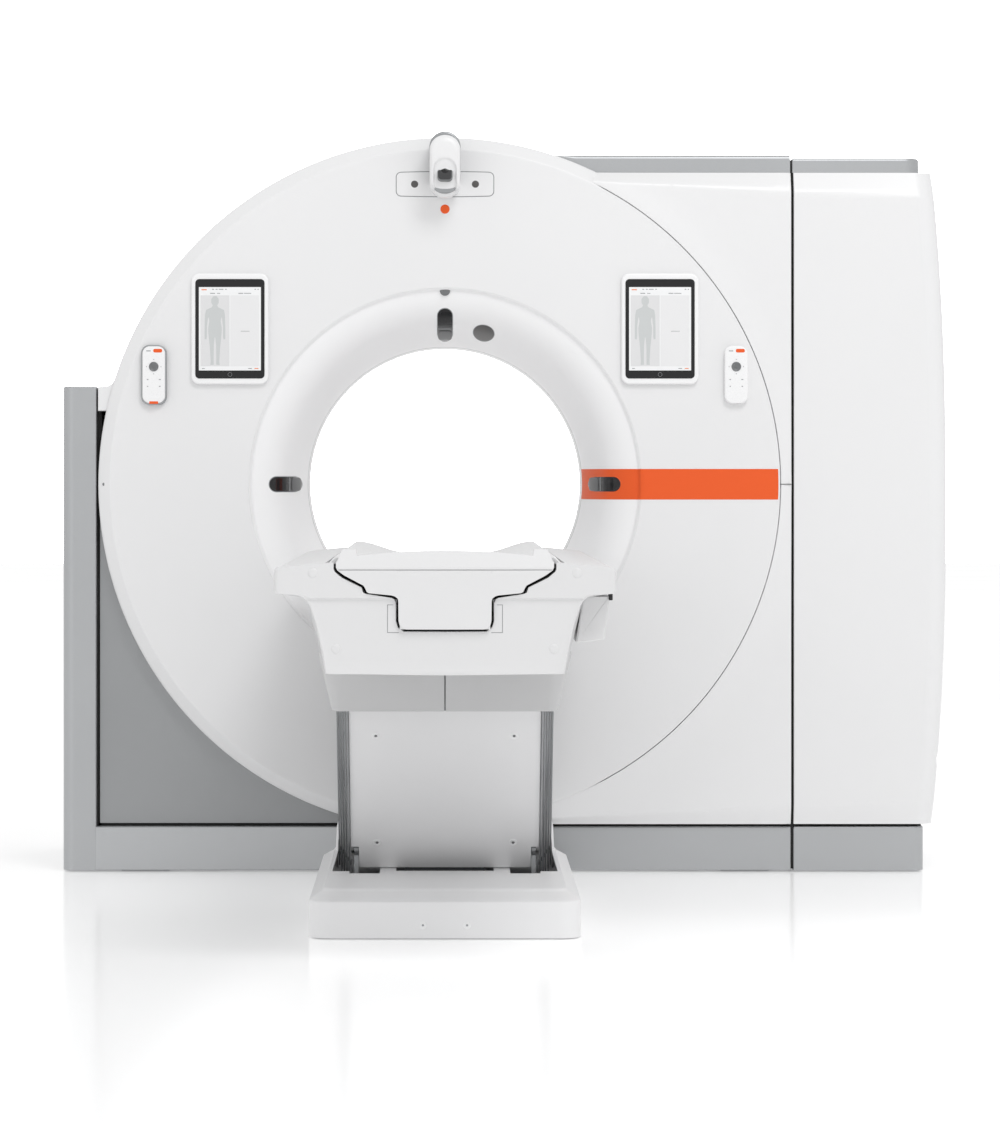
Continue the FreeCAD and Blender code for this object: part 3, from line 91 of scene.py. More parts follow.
class CtGantrySizes(bpy.types.PropertyGroup):
    """Sizes of the gantry's covers, in millimetres."""

    bore: length("Bore radius", 350, "Radius of the opening at the throat")
    crease: length("Mouth radius", 487, "Radius where the mouth ring meets the disc")
    disc: length("Disc radius", 833, "Radius of the flat part of the front disc")
    rim: length("Rim radius", 864, "Outer radius of the bevelled rim")
    body_left: length("Body left", 866, "Bore axis to the edge of the lower left panel")
    wing: length("Wing reach", 862, "Bore axis to the right edge of the front cover")
    shoulder: length("Shoulder height", 1744, "Height of the body's shoulder line")
    low: length("Cover bottom", 120, "Height of the white covers' lower edge")
    bulge: length("Side bulge", 36, "How far the right side bows outwards")
    band_half: length("Stripe half height", 38, "Half the height of the coloured stripe")


class CtTableSizes(bpy.types.PropertyGroup):
    """Sizes of the patient table's covers, in millimetres."""

    front: length("Table front", 2600, "Scan plane to the table's front end")
    band: length("Band half width", 340, "Half width of the widest band")
    body: length("Body half width", 277, "Half width just under the band")
    foot: length("Underside half width", 239, "Half width at the underside")
    base_half: length("Base half width", 291, "Half width of the floor cover")
    lean: FloatProperty(
        name="Lift lean", description="Lean of the lift's arms", default=np.radians(35),
        subtype="ANGLE",
    )


class CtColours(bpy.types.PropertyGroup):
    """Base colours of the finishes."""

    white: colour("Cover white", (0.80, 0.80, 0.805), "Moulded gantry covers")
    table: colour("Table white", (0.70, 0.70, 0.705), "Painted table covers")
    silver: colour("Silver", (0.46, 0.47, 0.48), "Metallic body panels")
    orange: colour("Accent", (0.83, 0.10, 0.008), "Stripe and small accents")
    dark: colour("Smoked windows", (0.012, 0.012, 0.013), "Windows and tablet glass")


class CtStudio(bpy.types.PropertyGroup):
    """Camera and light of the studio."""

    distance: FloatProperty(
        name="Camera distance", description="Camera to the scan plane", default=11.4, unit="LENGTH"
    )
    height: FloatProperty(
        name="Camera height", description="Camera above the floor", default=0.98, unit="LENGTH"
    )
    key: FloatProperty(
        name="Key light", description="Power of the main light", default=150, unit="POWER"
    )
    fill: FloatProperty(
        name="Fill light", description="Power of the weak side light", default=22, unit="POWER"
    )
    sky: FloatProperty(
        name="Room light", description="Strength of the even white surroundings", default=0.79
    )


# ------------------------------------------------------------------ surfaces


def direction(v):
    """Rows of v at unit length."""
    return v / np.maximum(np.linalg.norm(v, axis=-1, keepdims=True), 1e-9)


def box_outline(x0, y0, x1, y1):
    """The four corners of a rectangle, from its least corner round."""
    return [(x0, y0), (x1, y0), (x1, y1), (x0, y1)]


def rounded(corners, radius, steps=6, hold=0.6):
    """Closed outline with an arc of the given radius at each corner.

    The arc is centre + (sin((1-t)a)u + sin(ta)w)/sin(a), with a point held just before and after it."""
    p = np.asarray(corners, float)
    r = np.broadcast_to(np.asarray(radius, float), len(p))[:, None]
    back, ahead = direction(np.roll(p, 1, 0) - p), direction(np.roll(p, -1, 0) - p)
    half = np.arccos(np.clip((back * ahead).sum(1), -1, 1))[:, None] / 2
    start, end = p + back * r / np.tan(half), p + ahead * r / np.tan(half)
    centre = p + direction(back + ahead) * r / np.sin(half)
    sweep = (np.pi - 2 * half)[:, :, None]
    t = np.linspace(0, 1, steps + 1)[None, :, None]
    u, w = (start - centre)[:, None], (end - centre)[:, None]
    arcs = centre[:, None] + (np.sin((1 - t) * sweep) * u + np.sin(t * sweep) * w) / np.sin(sweep)
    held = [(start + back * hold)[:, None], arcs, (end + ahead * hold)[:, None]]
    return np.concatenate(held, 1).reshape(-1, 2)


def even(outline, count):
    """A closed outline resampled at equal steps of its length."""
    loop = np.vstack([outline, outline[:1]])
    run = np.concatenate([[0], np.cumsum(np.linalg.norm(np.diff(loop, axis=0), axis=1))])
    at = np.linspace(0, run[-1], count, endpoint=False)
    return np.stack([np.interp(at, run, loop[:, 0]), np.interp(at, run, loop[:, 1])], 1)


def inset(outline, amount):
    """A closed outline moved inwards along the normal at each of its points."""
    tangent = direction(np.roll(outline, -1, 0) - np.roll(outline, 1, 0))
    normal = np.stack([tangent[:, 1], -tangent[:, 0]], 1)
    after = np.roll(outline, -1, 0)
    area = (outline[:, 0] * after[:, 1] - after[:, 0] * outline[:, 1]).sum()
    return outline - normal * np.sign(area) * amount


def lifted(flat, depth, axis):
    """Points of a flat outline set at a depth along X, Y or Z."""
    a, b = flat[..., 0], flat[..., 1]
    c = np.broadcast_to(depth, a.shape)
    return np.stack({"X": (c, a, b), "Y": (a, c, b), "Z": (a, b, c)}[axis], -1)


def eased(front, back, radius, steps=5):
    """Layers (inset, depth) of a slab with a quarter circle at its front edge.

    Inset r(1-cos a), depth front + r(1-sin a)."""
    way = 1 if back > front else -1
    a = np.linspace(0, np.pi / 2, steps + 1)
    arc = np.stack([radius * (1 - np.cos(a)), front + way * radius * (1 - np.sin(a))], 1)
    ends = [(0, back), (0, front + way * (radius + 0.5))], [(radius + 0.6, front)]
    return np.vstack([ends[0], arc, ends[1]])


def softly(t, width=0.04):
    """0 below 0 and t above it, with a rounded bend: (t + sqrt(t*t + w*w)) / 2."""
    return (t + np.sqrt(t * t + width * width)) / 2


def step(low, high, t):
    """Smooth step from 0 at low to 1 at high: s*s*(3 - 2s)."""
    s = np.clip((t - low) / (high - low), 0, 1)
    return s * s * (3 - 2 * s)


class Shape:
    """Collects grids and caps, and makes one mesh piece of them."""

    def __init__(self):
        self.points, self.faces, self.count = [], [], 0

    def grid(self, p, loop_u=False, loop_v=False):
        """Quads between neighbouring points of a grid of rows and columns."""
        rows, cols = p.shape[:2]
        index = self.count + np.arange(rows * cols).reshape(rows, cols)
        if loop_u:
            index = np.vstack([index, index[:1]])
        if loop_v:
            index = np.hstack([index, index[:, :1]])
        quads = np.stack([index[:-1, :-1], index[:-1, 1:], index[1:, 1:], index[1:, :-1]], -1)
        self.points.append(p.reshape(-1, 3))
        self.faces += quads.reshape(-1, 4).tolist()
        self.count += rows * cols
        return self

    def cap(self, ring):
        """One flat face over a ring of points."""
        self.points.append(ring)
        self.faces.append(list(range(self.count, self.count + len(ring))))
        self.count += len(ring)
        return self

    def tube(self, rings, loop_u=False):
        """A closed ring carried through stations, with its two ends capped unless it closes on itself."""
        self.grid(rings, loop_u=loop_u, loop_v=True)
        return self if loop_u else self.cap(rings[0]).cap(rings[-1])

    def plate(self, outline, layers, axis="Y"):
        """An outline carried through layers of inset and depth."""
        return self.tube(np.stack([lifted(inset(outline, i), z, axis) for i, z in layers]))

    def lathe(self, profile, start=0, stop=360, steps=256, x=0, z=None):
        """A closed (radius, depth) profile turned about an axis along Y: x + r cos a, z + r sin a."""
        whole = stop - start >= 360
        a = np.radians(np.linspace(start, stop, steps, endpoint=not whole))[:, None]
        r, y = np.asarray(profile, float).T
        z = AXIS if z is None else z
        return self.tube(
            np.stack([x + r * np.cos(a), np.broadcast_to(y, (steps, len(y))), z + r * np.sin(a)], -1),
            loop_u=whole,
        )

    def dome(self, x, z, y, radius, rise, out=-1, steps=32):
        """A shallow cap: depth y + out * rise * sqrt(1 - q*q) at q of its radius, with a skirt behind."""
        q = np.sin(np.linspace(np.pi / 2, 0, 9))[:, None]
        a = np.linspace(0, 2 * np.pi, steps, endpoint=False)
        depth = np.broadcast_to(y + out * rise * np.sqrt(1 - q * q), (9, steps))
        skirt = np.full((1, steps), y - out * rise)
        r = radius * np.vstack([[[1]], q])
        return self.tube(np.stack([x + r * np.cos(a), np.vstack([skirt, depth]), z + r * np.sin(a)], -1))

    def block(self, front, back):
        """A front sheet closed by its own flat copy at depth back and by walls round its edge."""
        behind = front.copy()
        behind[..., 1] = back
        self.grid(front).grid(behind)
        rim = [(front[0], behind[0]), (front[-1], behind[-1]),
               (front[:, 0], behind[:, 0]), (front[:, -1], behind[:, -1])]
        for a, b in rim:
            self.grid(np.stack([a, b]))
        return self

    def moved(self, turn, shift):
        """Everything so far turned about X by an angle, then shifted."""
        c, s = np.cos(turn), np.sin(turn)
        spin = np.array([[1, 0, 0], [0, c, -s], [0, s, c]])
        self.points = [p @ spin.T + np.array(shift, float) for p in self.points]
        return self

    def mirrored(self):
        """Everything so far and its mirror image across the middle plane."""
        flipped = [p * np.array([-1, 1, 1]) for p in self.points]
        faces = [[i + self.count for i in face] for face in self.faces]
        self.points, self.faces, self.count = self.points + flipped, self.faces + faces, self.count * 2
        return self

    def mesh(self, name, angle=35):
        """The merged mesh in metres, its faces outwards and its sharp edges marked."""
        mesh = bpy.data.meshes.new(name)
        mesh.from_pydata((np.concatenate(self.points) * MM).tolist(), [], self.faces)
        bm = bmesh.new()
        bm.from_mesh(mesh)
        bmesh.ops.remove_doubles(bm, verts=bm.verts, dist=2e-6)
        bmesh.ops.dissolve_degenerate(bm, edges=bm.edges, dist=1e-7)
        bmesh.ops.recalc_face_normals(bm, faces=bm.faces)
        bm.to_mesh(mesh)
        bm.free()
        mesh.polygons.foreach_set("use_smooth", np.ones(len(mesh.polygons), bool))
        mesh.set_sharp_from_angle(angle=np.radians(angle))
        return mesh

    def piece(self, name, body, finish, slot, replaces=(), angle=35, bevel=0):
        """The finished object, riding on a body of the frame."""
        obj = bpy.data.objects.new(name, self.mesh(name, angle))
        bpy.context.scene.collection.objects.link(obj)
        obj.data.materials.append(finish)
        if bevel:
            soft = obj.modifiers.new("soft_edges", "BEVEL")
            soft.width, soft.segments, soft.limit_method = bevel * MM, 3, "ANGLE"
            soft.angle_limit = np.radians(50)
        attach(obj, body)
        if replaces:
            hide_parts(*replaces)
        return obj


# ------------------------------------------------------------------ finishes


class Value:
    """A shader socket that adds Math nodes when it is used in an expression."""

    def __init__(self, tree, socket):
        self.tree, self.socket = tree, socket

    def math(self, operation, first, second):
        node = self.tree.nodes.new("ShaderNodeMath")
        node.operation = operation
        for socket, value in zip(node.inputs, (first, second)):
            if isinstance(value, Value):
                self.tree.links.new(value.socket, socket)
            else:
                socket.default_value = value
        return Value(self.tree, node.outputs[0])

    def __add__(self, other):
        return self.math("ADD", self, other)

    def __mul__(self, other):
        return self.math("MULTIPLY", self, other)

    def __sub__(self, other):
        return self.math("SUBTRACT", self, other)

    def __rsub__(self, other):
        return self.math("SUBTRACT", other, self)

    def __pow__(self, other):
        return self.math("POWER", self, other)

    __radd__, __rmul__ = __add__, __mul__


class Finish:
    """A material under construction."""

    def __init__(self, name, **constants):
        self.material = bpy.data.materials.new(name)
        self.material.use_nodes = True
        self.tree = self.material.node_tree
        self.shader = self.tree.nodes["Principled BSDF"]
        for socket, value in constants.items():
            self.shader.inputs[socket.replace("_", " ")].default_value = value

    def add(self, kind, settings, sockets, output=0):
        """Any node: its settings first, then values or links for its sockets."""
        node = self.tree.nodes.new(kind)
        for key, value in settings.items():
            setattr(node, key, value)
        for key, value in sockets.items():
            if isinstance(value, Value):
                self.tree.links.new(value.socket, node.inputs[key])
            else:
                node.inputs[key].default_value = value
        return Value(self.tree, node.outputs[output])

    def feed(self, socket, value):
        self.tree.links.new(value.socket, self.shader.inputs[socket])

    def noise(self, scale, detail=2, stretch=(1, 1, 1)):
        """Noise on Object coordinates, with that many features to a metre."""
        place = self.add("ShaderNodeTexCoord", {}, {}, output=3)
        spread = self.add("ShaderNodeMapping", {}, {"Vector": place, "Scale": stretch})
        return self.add(
            "ShaderNodeTexNoise", {}, {"Vector": spread, "Scale": scale, "Detail": detail}
        )

    def blend(self, mask, dark, light):
        """A colour between two, by a mask."""
        return self.add(
            "ShaderNodeMix", {"data_type": "RGBA"}, {0: mask, 6: (*dark, 1), 7: (*light, 1)}, output=2
        )

    def relief(self, height, distance, strength=0.6):
        """Bump from a height, over a real depth in metres."""
        bump = self.add(
            "ShaderNodeBump", {}, {"Height": height, "Distance": distance, "Strength": strength}
        )
        self.feed("Normal", bump)


def shade(base, factor):
    """A colour scaled, each channel kept in range."""
    return tuple(float(min(1, c * factor)) for c in base)


def moulded(name, base, rough=0.36, grain=420, depth=0.00004, coat=0.12, mottle=0.02):
    """Painted moulding: slow tone drift, a fine orange-peel surface and roughness that follows both."""
    f = Finish(name, Coat_Weight=coat, Coat_Roughness=0.18, Specular_IOR_Level=0.45)
    drift, peel = f.noise(1.7, 3), f.noise(grain, 3)
    f.feed("Base Color", f.blend(drift, shade(base, 1 - mottle), shade(base, 1 + mottle)))
    f.feed("Roughness", drift * 0.08 + peel * 0.08 + (rough - 0.08))
    f.relief(peel, depth)
    return f.material


def metallic(name, base, rough=0.34, flake=900, stretch=(1, 1, 1), metal=0.9, depth=0.00003):
    """Metal or metallic paint: flakes or a brushed grain vary its tone, gloss and relief."""
    f = Finish(name, Metallic=metal, Coat_Weight=0.08, Coat_Roughness=0.25)
    flakes, cloud = f.noise(flake, 2, stretch), f.noise(2.3, 3)
    tone = flakes * 0.6 + cloud * 0.4
    f.feed("Base Color", f.blend(tone, shade(base, 0.86), shade(base, 1.12)))
    f.feed("Roughness", flakes * 0.14 + cloud * 0.08 + (rough - 0.11))
    f.relief(flakes, depth)
    return f.material


def glass_dark(name, base, rough=0.08):
    """Smoked gloss: faint wiping marks in the gloss, and a deep even colour."""
    f = Finish(name, Coat_Weight=0.2, Coat_Roughness=0.04, Specular_IOR_Level=0.3)
    smear, dust = f.noise(14, 5, (1, 1, 3)), f.noise(600, 2)
    f.feed("Base Color", f.blend(dust ** 6, base, shade(base, 3)))
    f.feed("Roughness", smear * 0.1 + rough)
    f.relief(smear, 0.00002, 0.2)
    return f.material


def display(name, base, glow=0.18):
    """A lit display: a fine cell raster dims its glow slightly."""
    f = Finish(name, Roughness=0.35, Emission_Strength=glow, Specular_IOR_Level=0.2)
    cells = f.noise(1400, 1)
    tone = f.blend(cells, shade(base, 0.97), shade(base, 1.02))
    f.feed("Base Color", tone)
    f.feed("Emission Color", tone)
    return f.material


def make_finishes(tints):
    """Every finish by name."""
    return {
        "cover": moulded("cover_white", tints.white),
        # The mouth rings take the cover white made lighter: painted light that makes up for the mouth
        # being less lit than the disc.
        "mouth": moulded("mouth_white", shade(tints.white, 1.14), rough=0.42, coat=0.05),
        "table": moulded("table_white", tints.table, rough=0.4, grain=520),
        "cradle": moulded("cradle_shell", shade(tints.table, 1.03), rough=0.3, coat=0.3),
        # The floor cover and the lift plate take the table white made lighter: painted light that makes up
        # for their low place, where less light reaches.
        "base": moulded("base_white_painted_light", shade(tints.table, 1.2), rough=0.4, grain=520),
        # The lower shroud's finish is the table white made darker: painted shade for its place under the
        # table body.
        "shroud": moulded("shroud_white_painted_shade", shade(tints.table, 0.78), rough=0.4, grain=520),
        # The lower left panel's silver is the silver paint made darker: painted shade for its place under
        # the disc's rim.
        "silver_painted_shade": metallic("silver_panel_painted_shade", shade(tints.silver, 0.74), rough=0.42, flake=1300,
                               metal=0.72),
        "tray": moulded("tray_white", (0.88, 0.88, 0.885), rough=0.28, coat=0.35),
        "liner": moulded("liner_plastic", (0.82, 0.82, 0.825), rough=0.3, coat=0.2),
        "silver": metallic("silver_paint", tints.silver, rough=0.42, flake=1300, metal=0.72),
        "trim": metallic("satin_trim", (0.36, 0.37, 0.38), rough=0.36, metal=0.7),
        "orange": moulded("accent_film", tints.orange, rough=0.55, grain=700, mottle=0.03, coat=0),
        "orange_soft": moulded("accent_ink", (0.86, 0.22, 0.07), rough=0.4, mottle=0.04),
        "black": moulded("black_plastic", (0.014, 0.014, 0.015), rough=0.45, mottle=0.2, grain=800),
        # Near black for strips set in the gaps between covers: painted shade where the gaps fall dark.
        "gap": moulded("gap_painted_shade", (0.010, 0.010, 0.010), rough=0.7, mottle=0.25, coat=0),
        "line": moulded("seam_shadow", (0.19, 0.20, 0.205), rough=0.6, mottle=0.1, coat=0),
        "glass": glass_dark("smoked_glass", tints.dark),
        "slider": glass_dark("window_slider", (0.05, 0.052, 0.055), 0.25),
        "oval": glass_dark("breathing_window", (0.085, 0.082, 0.080), 0.3),
        "lens": glass_dark("lens_cover", (0.045, 0.045, 0.047), 0.05),
        "key": moulded("grey_key", (0.16, 0.165, 0.17), rough=0.4, mottle=0.05),
        # Grey for printed marks, and for the line along the cradle's crease, which is painted shade.
        "mark": moulded("grey_ink_and_painted_shade", (0.33, 0.34, 0.35), rough=0.5, mottle=0.08, coat=0),
        "screen": display("screen_bright", (0.74, 0.745, 0.75)),
        "panel": display("screen_panel", (0.62, 0.62, 0.625)),
        "side": display("screen_side", (0.68, 0.68, 0.685)),
        "figure": display("screen_figure", (0.50, 0.515, 0.515)),
        "steel": metallic("bare_steel", (0.55, 0.55, 0.56), rough=0.3, stretch=(1, 14, 1)),
        "slat": metallic("slat_steel", (0.42, 0.43, 0.44), rough=0.34, stretch=(10, 1, 1)),
        "aluminium": metallic("cast_aluminium", (0.62, 0.63, 0.64), rough=0.42, flake=300),
        "dark_metal": metallic("dark_metal", (0.10, 0.105, 0.11), rough=0.45, flake=500),
        "frame": moulded("frame_paint", (0.13, 0.14, 0.155), rough=0.5, mottle=0.12, depth=0.0001),
        "brass": metallic("contact_brass", (0.62, 0.44, 0.16), rough=0.28, stretch=(1, 1, 20)),
    }


def finish(name):
    """A finish from the built set."""
    return FINISHES[name]


FINISHES = {}


# ------------------------------------------------------------------ gantry


class Maker(bpy.types.Operator):
    """Shared by the operators below: the sizes that they read."""

    bl_idname = "ct.maker"
    bl_label = "Shared maker"
    bl_options = {"REGISTER", "UNDO"}

    def execute(self, context):
        self.make(context.scene.ct_gantry, context.scene.ct_table)
        return {"FINISHED"}

    def make(self, gantry, table):
        """Nothing to build here."""


def disc_edge(gantry, free):
    """Closed (radius, depth) section of the disc, with a free bevelled rim or a groove in its place."""
    d, rim = gantry.disc, gantry.rim
    bevel = [(0.5, .4), (2, 1.5), (7, 5.7), (15, 12.4), (23, 19), (27.5, 22.8), (30, 25.6), (31, 29)]
    groove = [(0.2, .8), (0.6, 2), (0.8, 6), (1.2, 10), (3, 14), (12, 17), (24, 22), (31, 29)]
    turned = np.array(bevel if free else groove) + (d, FACE)
    front = [(gantry.crease, 6), (gantry.crease, 2.4), (gantry.crease + .8, .8), (gantry.crease + 2.5, 0),
             (gantry.crease + 4, 0), (620, 0), (740, 0), (d - 5, 0), (d - 1, 0)]
    back = [(rim, 32), (rim, 120), (rim - 5, 120), (rim - 5, 34), (d, 8), (620, 8)]
    lift = (0, FACE)
    return np.vstack([np.array(front) + lift, turned, np.array(back) + lift])


def spread(stops, count):
    """Angles that pass exactly through each stop."""
    parts = [np.linspace(a, b, count, endpoint=False) for a, b in zip(stops, stops[1:])]
    return np.concatenate(parts + [[stops[-1]]])


def frame_reach(angle, x_side, z_up, z_down):
    """Distance from the bore axis to a rectangle's edge at each angle."""
    c, s = np.cos(angle), np.sin(angle)
    tall = np.where(s > 0, z_up, z_down)
    return np.minimum(x_side / np.maximum(abs(c), 1e-6), tall / np.maximum(abs(s), 1e-6))


def bevel_drop(x, z, gantry):
    """Depth of the slanted bevels along the top and bottom: a straight fall from a sloping crease."""
    high = 1719 - (x - 414) * 0.0483
    low = 137 + (x - 287) * 0.046
    top = softly((z - high) / (gantry.shoulder - high))
    foot = softly((low - z) / (low - gantry.low))
    return 25 * top + 16 * foot


class BuildFrontCover(Maker):
    """Disc, wing and shoulder of the moulded front cover."""

    bl_idname = "ct.front_cover"
    bl_label = "Front cover"

    def make(self, gantry, table):
        shape = Shape()
        steps = 720
        a = np.radians(np.linspace(-180, 180, steps, endpoint=False))
        turn = np.degrees(a)
        wing = (step(-68, -60, turn) * (1 - step(61, 65.5, turn)))[:, None, None]
        section = disc_edge(gantry, True) * (1 - wing) + disc_edge(gantry, False) * wing
        r, y = section[..., 0], section[..., 1]
        z = np.maximum(AXIS + r * np.sin(a)[:, None], gantry.low)
        shape.tube(np.stack([r * np.cos(a)[:, None], y, z], -1), loop_u=True)

        up, down = gantry.shoulder - AXIS, AXIS - gantry.low
        corner_up, corner_down = np.arctan2(up, gantry.wing), np.arctan2(-down, gantry.wing)
        first, last = -np.arcsin(down / gantry.rim), np.arcsin(up / gantry.rim)
        angle = spread([first, corner_down, 0, corner_up, last], 90)
        start = np.full_like(angle, gantry.disc + 3)
        reach = frame_reach(angle, gantry.wing, up, down)
        s = (0.5 - 0.5 * np.cos(np.linspace(0, np.pi, 34)))[None]
        r = start[:, None] + (reach - start)[:, None] * s
        x, z = r * np.cos(angle)[:, None], AXIS + r * np.sin(angle)[:, None]
        scoop = -9 * np.exp(-(((r - gantry.disc - 3) / 42) ** 1.6))
        side = np.clip(x - gantry.wing + 4, 0, 4)
        y = FACE + 12 + scoop + bevel_drop(x, z, gantry) + 4 - np.sqrt(16 - side * side)
        behind = np.full((len(angle), 1), FACE + 120)
        x = np.hstack([x[:, :1], x, x[:, -1:], x[:, :1]])
        z = np.hstack([z[:, :1], z, z[:, -1:], z[:, :1]])
        y = np.hstack([np.full_like(behind, FACE + 24), y, behind, behind])
        shape.tube(np.stack([x, y, z], -1))
        shape.plate(shoulder_outline(gantry), eased(FACE + 40, FACE + 118, 3))
        shape.piece("front_cover_skin", BASE, finish("cover"), "white_cover", ["front_cover"], angle=28)

        seam = Shape()
        seam.plate(rounded(box_outline(831, AXIS - 1, 861.6, AXIS + 1), .3),
                   eased(FACE + 2.4, FACE + 14, 0.2, 2))
        seam.dome(-849, AXIS, FACE + 14, 4, 2)
        seam.piece("front_cover_joint", BASE, finish("line"), "black_plastic")


def shoulder_outline(gantry):
    """The small shoulder left of the disc: a block whose top runs up to the disc in a hollow curve."""
    t = np.linspace(0, np.pi / 2, 9)
    hollow = np.stack([-850 + 27 * np.sin(t), 1211 + 27 * (1 - np.cos(t))], 1)
    flat = [(-820, 1238), (-800, 1238), (-800, 1150), (-gantry.body_left, 1150), (-gantry.body_left, 1207),
            (-gantry.body_left + 4, 1211)]
    return np.vstack([hollow, flat])[::-1]


def mouth_curve(gantry):
    """(radius, depth) of the mouth from throat to crease.

    An arc leaves the throat straight, a tighter arc runs over the lip, and a short step ends it."""
    lip_r, lip_y, big = gantry.bore + 45, -315.0, 536.1
    a = np.linspace(0, np.arcsin(215 / big), 30)
    inner = np.stack([gantry.bore + big * (1 - np.cos(a)), -100 - big * np.sin(a)], 1)
    small = 130.65
    out = np.array([491.1, 215]) / big
    centre = np.array([lip_r, lip_y]) + small * out
    foot = np.array([gantry.crease - 9, FACE + 12])
    b0 = np.arctan2(*(np.array([lip_r, lip_y]) - centre)[::-1])
    b1 = np.arctan2(*(foot - centre)[::-1])
    b = np.linspace(b0, b1, 26)[1:-1]
    outer = centre + small * np.stack([np.cos(b), np.sin(b)], 1)
    rise = [(478.5, FACE + 11.9), (480.3, FACE + 11.0), (482.2, FACE + 8.6), (484.6, FACE + 4.4),
            (486.2, FACE + 1.7), (487, FACE + 0.9)]
    return np.vstack([inner, outer, rise])


def mouth_skin(gantry, x, z, lift):
    """Points over the mouth and disc at (x, z), moved off the surface along its normal.

    With slope s = dy/dr the normal is (s, -1)/sqrt(1 + s*s) in radius and depth, times the lift."""
    curve = mouth_curve(gantry)
    slope = np.gradient(curve[:, 1], curve[:, 0])
    r = np.hypot(x, z - AXIS)
    flat = r > gantry.crease
    y = np.where(flat, FACE, np.interp(r, curve[:, 0], curve[:, 1]))
    lean = np.where(flat, 0, np.interp(r, curve[:, 0], np.clip(slope, -8, 0)))
    across = np.sqrt(1 + lean * lean)
    grow = 1 + lift * lean / across / r
    return np.stack([x * grow, y - lift / across, AXIS + (z - AXIS) * grow], -1)


class BuildMouth(Maker):
    """Front and rear mouth rings and the bore's liner."""

    bl_idname = "ct.mouth"
    bl_label = "Mouth rings and liner"

    def make(self, gantry, table):
        curve = mouth_curve(gantry)
        wall = curve[::-1] + (3.0, 4.0)
        section = np.vstack([curve, wall])
        Shape().lathe(section, steps=360).piece(
            "front_mouth_skin", BASE, finish("mouth"), "mouth_white", ["front_mouth_ring"])
        Shape().lathe(section * (1, -1), steps=360).piece(
            "rear_mouth_skin", BASE, finish("mouth"), "mouth_white", ["rear_mouth_ring"])
        b = gantry.bore
        liner = rounded(box_outline(b, -99.5, b + 4, 99.5), 0.8, 4)
        Shape().lathe(liner, steps=360).piece(
            "bore_liner_skin", BASE, finish("liner"), "liner_plastic", ["bore_liner"])
        lip = rounded(box_outline(b - .3, -103, b + 3, -97), 0.3, 2, .1)
        Shape().lathe(lip, steps=360).lathe(lip * (1, -1), steps=360).piece(
            "liner_joint", BASE, finish("line"), "black_plastic")


def on_mouth(gantry, outline, x, z, proud):
    """A pane that follows the mouth: the outline shrunk to its centre in steps and lifted off the skin."""
    q = np.array([1, 1, 0.985, 0.95, 0.8, 0.6, 0.4, 0.2, 0.02])[:, None, None]
    flat = outline[None] * q + (x, z)
    lift = np.array([-3, 0.25, 0.8, 1, 1, 1, 1, 1, 1])[:, None] * proud
    return mouth_skin(gantry, flat[..., 0], flat[..., 1], lift)


def stadium(wide, high):
    """A rectangle whose short ends are full half circles, centred on zero."""
    a, b = wide / 2, high / 2
    return even(rounded(box_outline(-a, -b, a, b), min(a, b) - 0.5, 12), 96)


class BuildWindows(Maker):
    """Laser windows with their sliders, the breathing window and the microphone in the mouth ring."""

    bl_idname = "ct.windows"
    bl_label = "Mouth windows"

    def make(self, gantry, table):
        panes, sliders, rims, grips = Shape(), Shape(), Shape(), Shape()
        for x, rise, across in ((-400, 0, True), (400, 0, True), (0, 400, False)):
            wide, high = (76, 37) if across else (37, 76)
            toward = -np.sign(x) if across else -1
            panes.tube(on_mouth(gantry, stadium(wide, high), x, AXIS + rise, 1.4))
            rims.tube(on_mouth(gantry, stadium(wide + 3.4, high + 3.4), x, AXIS + rise, 0.35))
            a, b = 11, 17.2
            window = rounded(box_outline(-a, -b, a, b), 6, 6)
            groove = rounded(box_outline(-1.2, -b, 1.2, b), 0.4, 2)
            parts = (window, toward * 24, 2.2, sliders), (groove, toward * 9, 1.9, grips)
            for outline, shift, proud, into in parts:
                if across:
                    into.tube(on_mouth(gantry, even(outline, 72), x + shift, AXIS, proud))
                else:
                    turned = even(outline, 72)[:, ::-1]
                    into.tube(on_mouth(gantry, turned, 0, AXIS + rise + shift, proud))
        panes.piece("laser_windows", BASE, finish("glass"), "black_glass", ["mouth_windows"])
        sliders.piece("laser_shutters", BASE, finish("slider"), "black_glass")
        grips.piece("laser_shutter_grips", BASE, finish("key"), "grey_key")
        tilt = np.radians(-12)
        spin = np.array([[np.cos(tilt), np.sin(tilt)], [-np.sin(tilt), np.cos(tilt)]])
        t = np.linspace(0, 2 * np.pi, 72, endpoint=False)
        oval = np.stack([26 * np.cos(t), 18.5 * np.sin(t)], 1) @ spin
        Shape().tube(on_mouth(gantry, oval, 97, AXIS + 379, 1.4)).piece(
            "breathing_window", BASE, finish("oval"), "black_glass")
        rims.tube(on_mouth(gantry, oval * 1.06, 97, AXIS + 379, 0.35))
        rims.piece("window_surrounds", BASE, finish("mark"), "grey_key")
        Shape().dome(0, AXIS + 482, FACE + 9, 13, 4).piece(
            "patient_microphone", BASE, finish("key"), "grey_key")


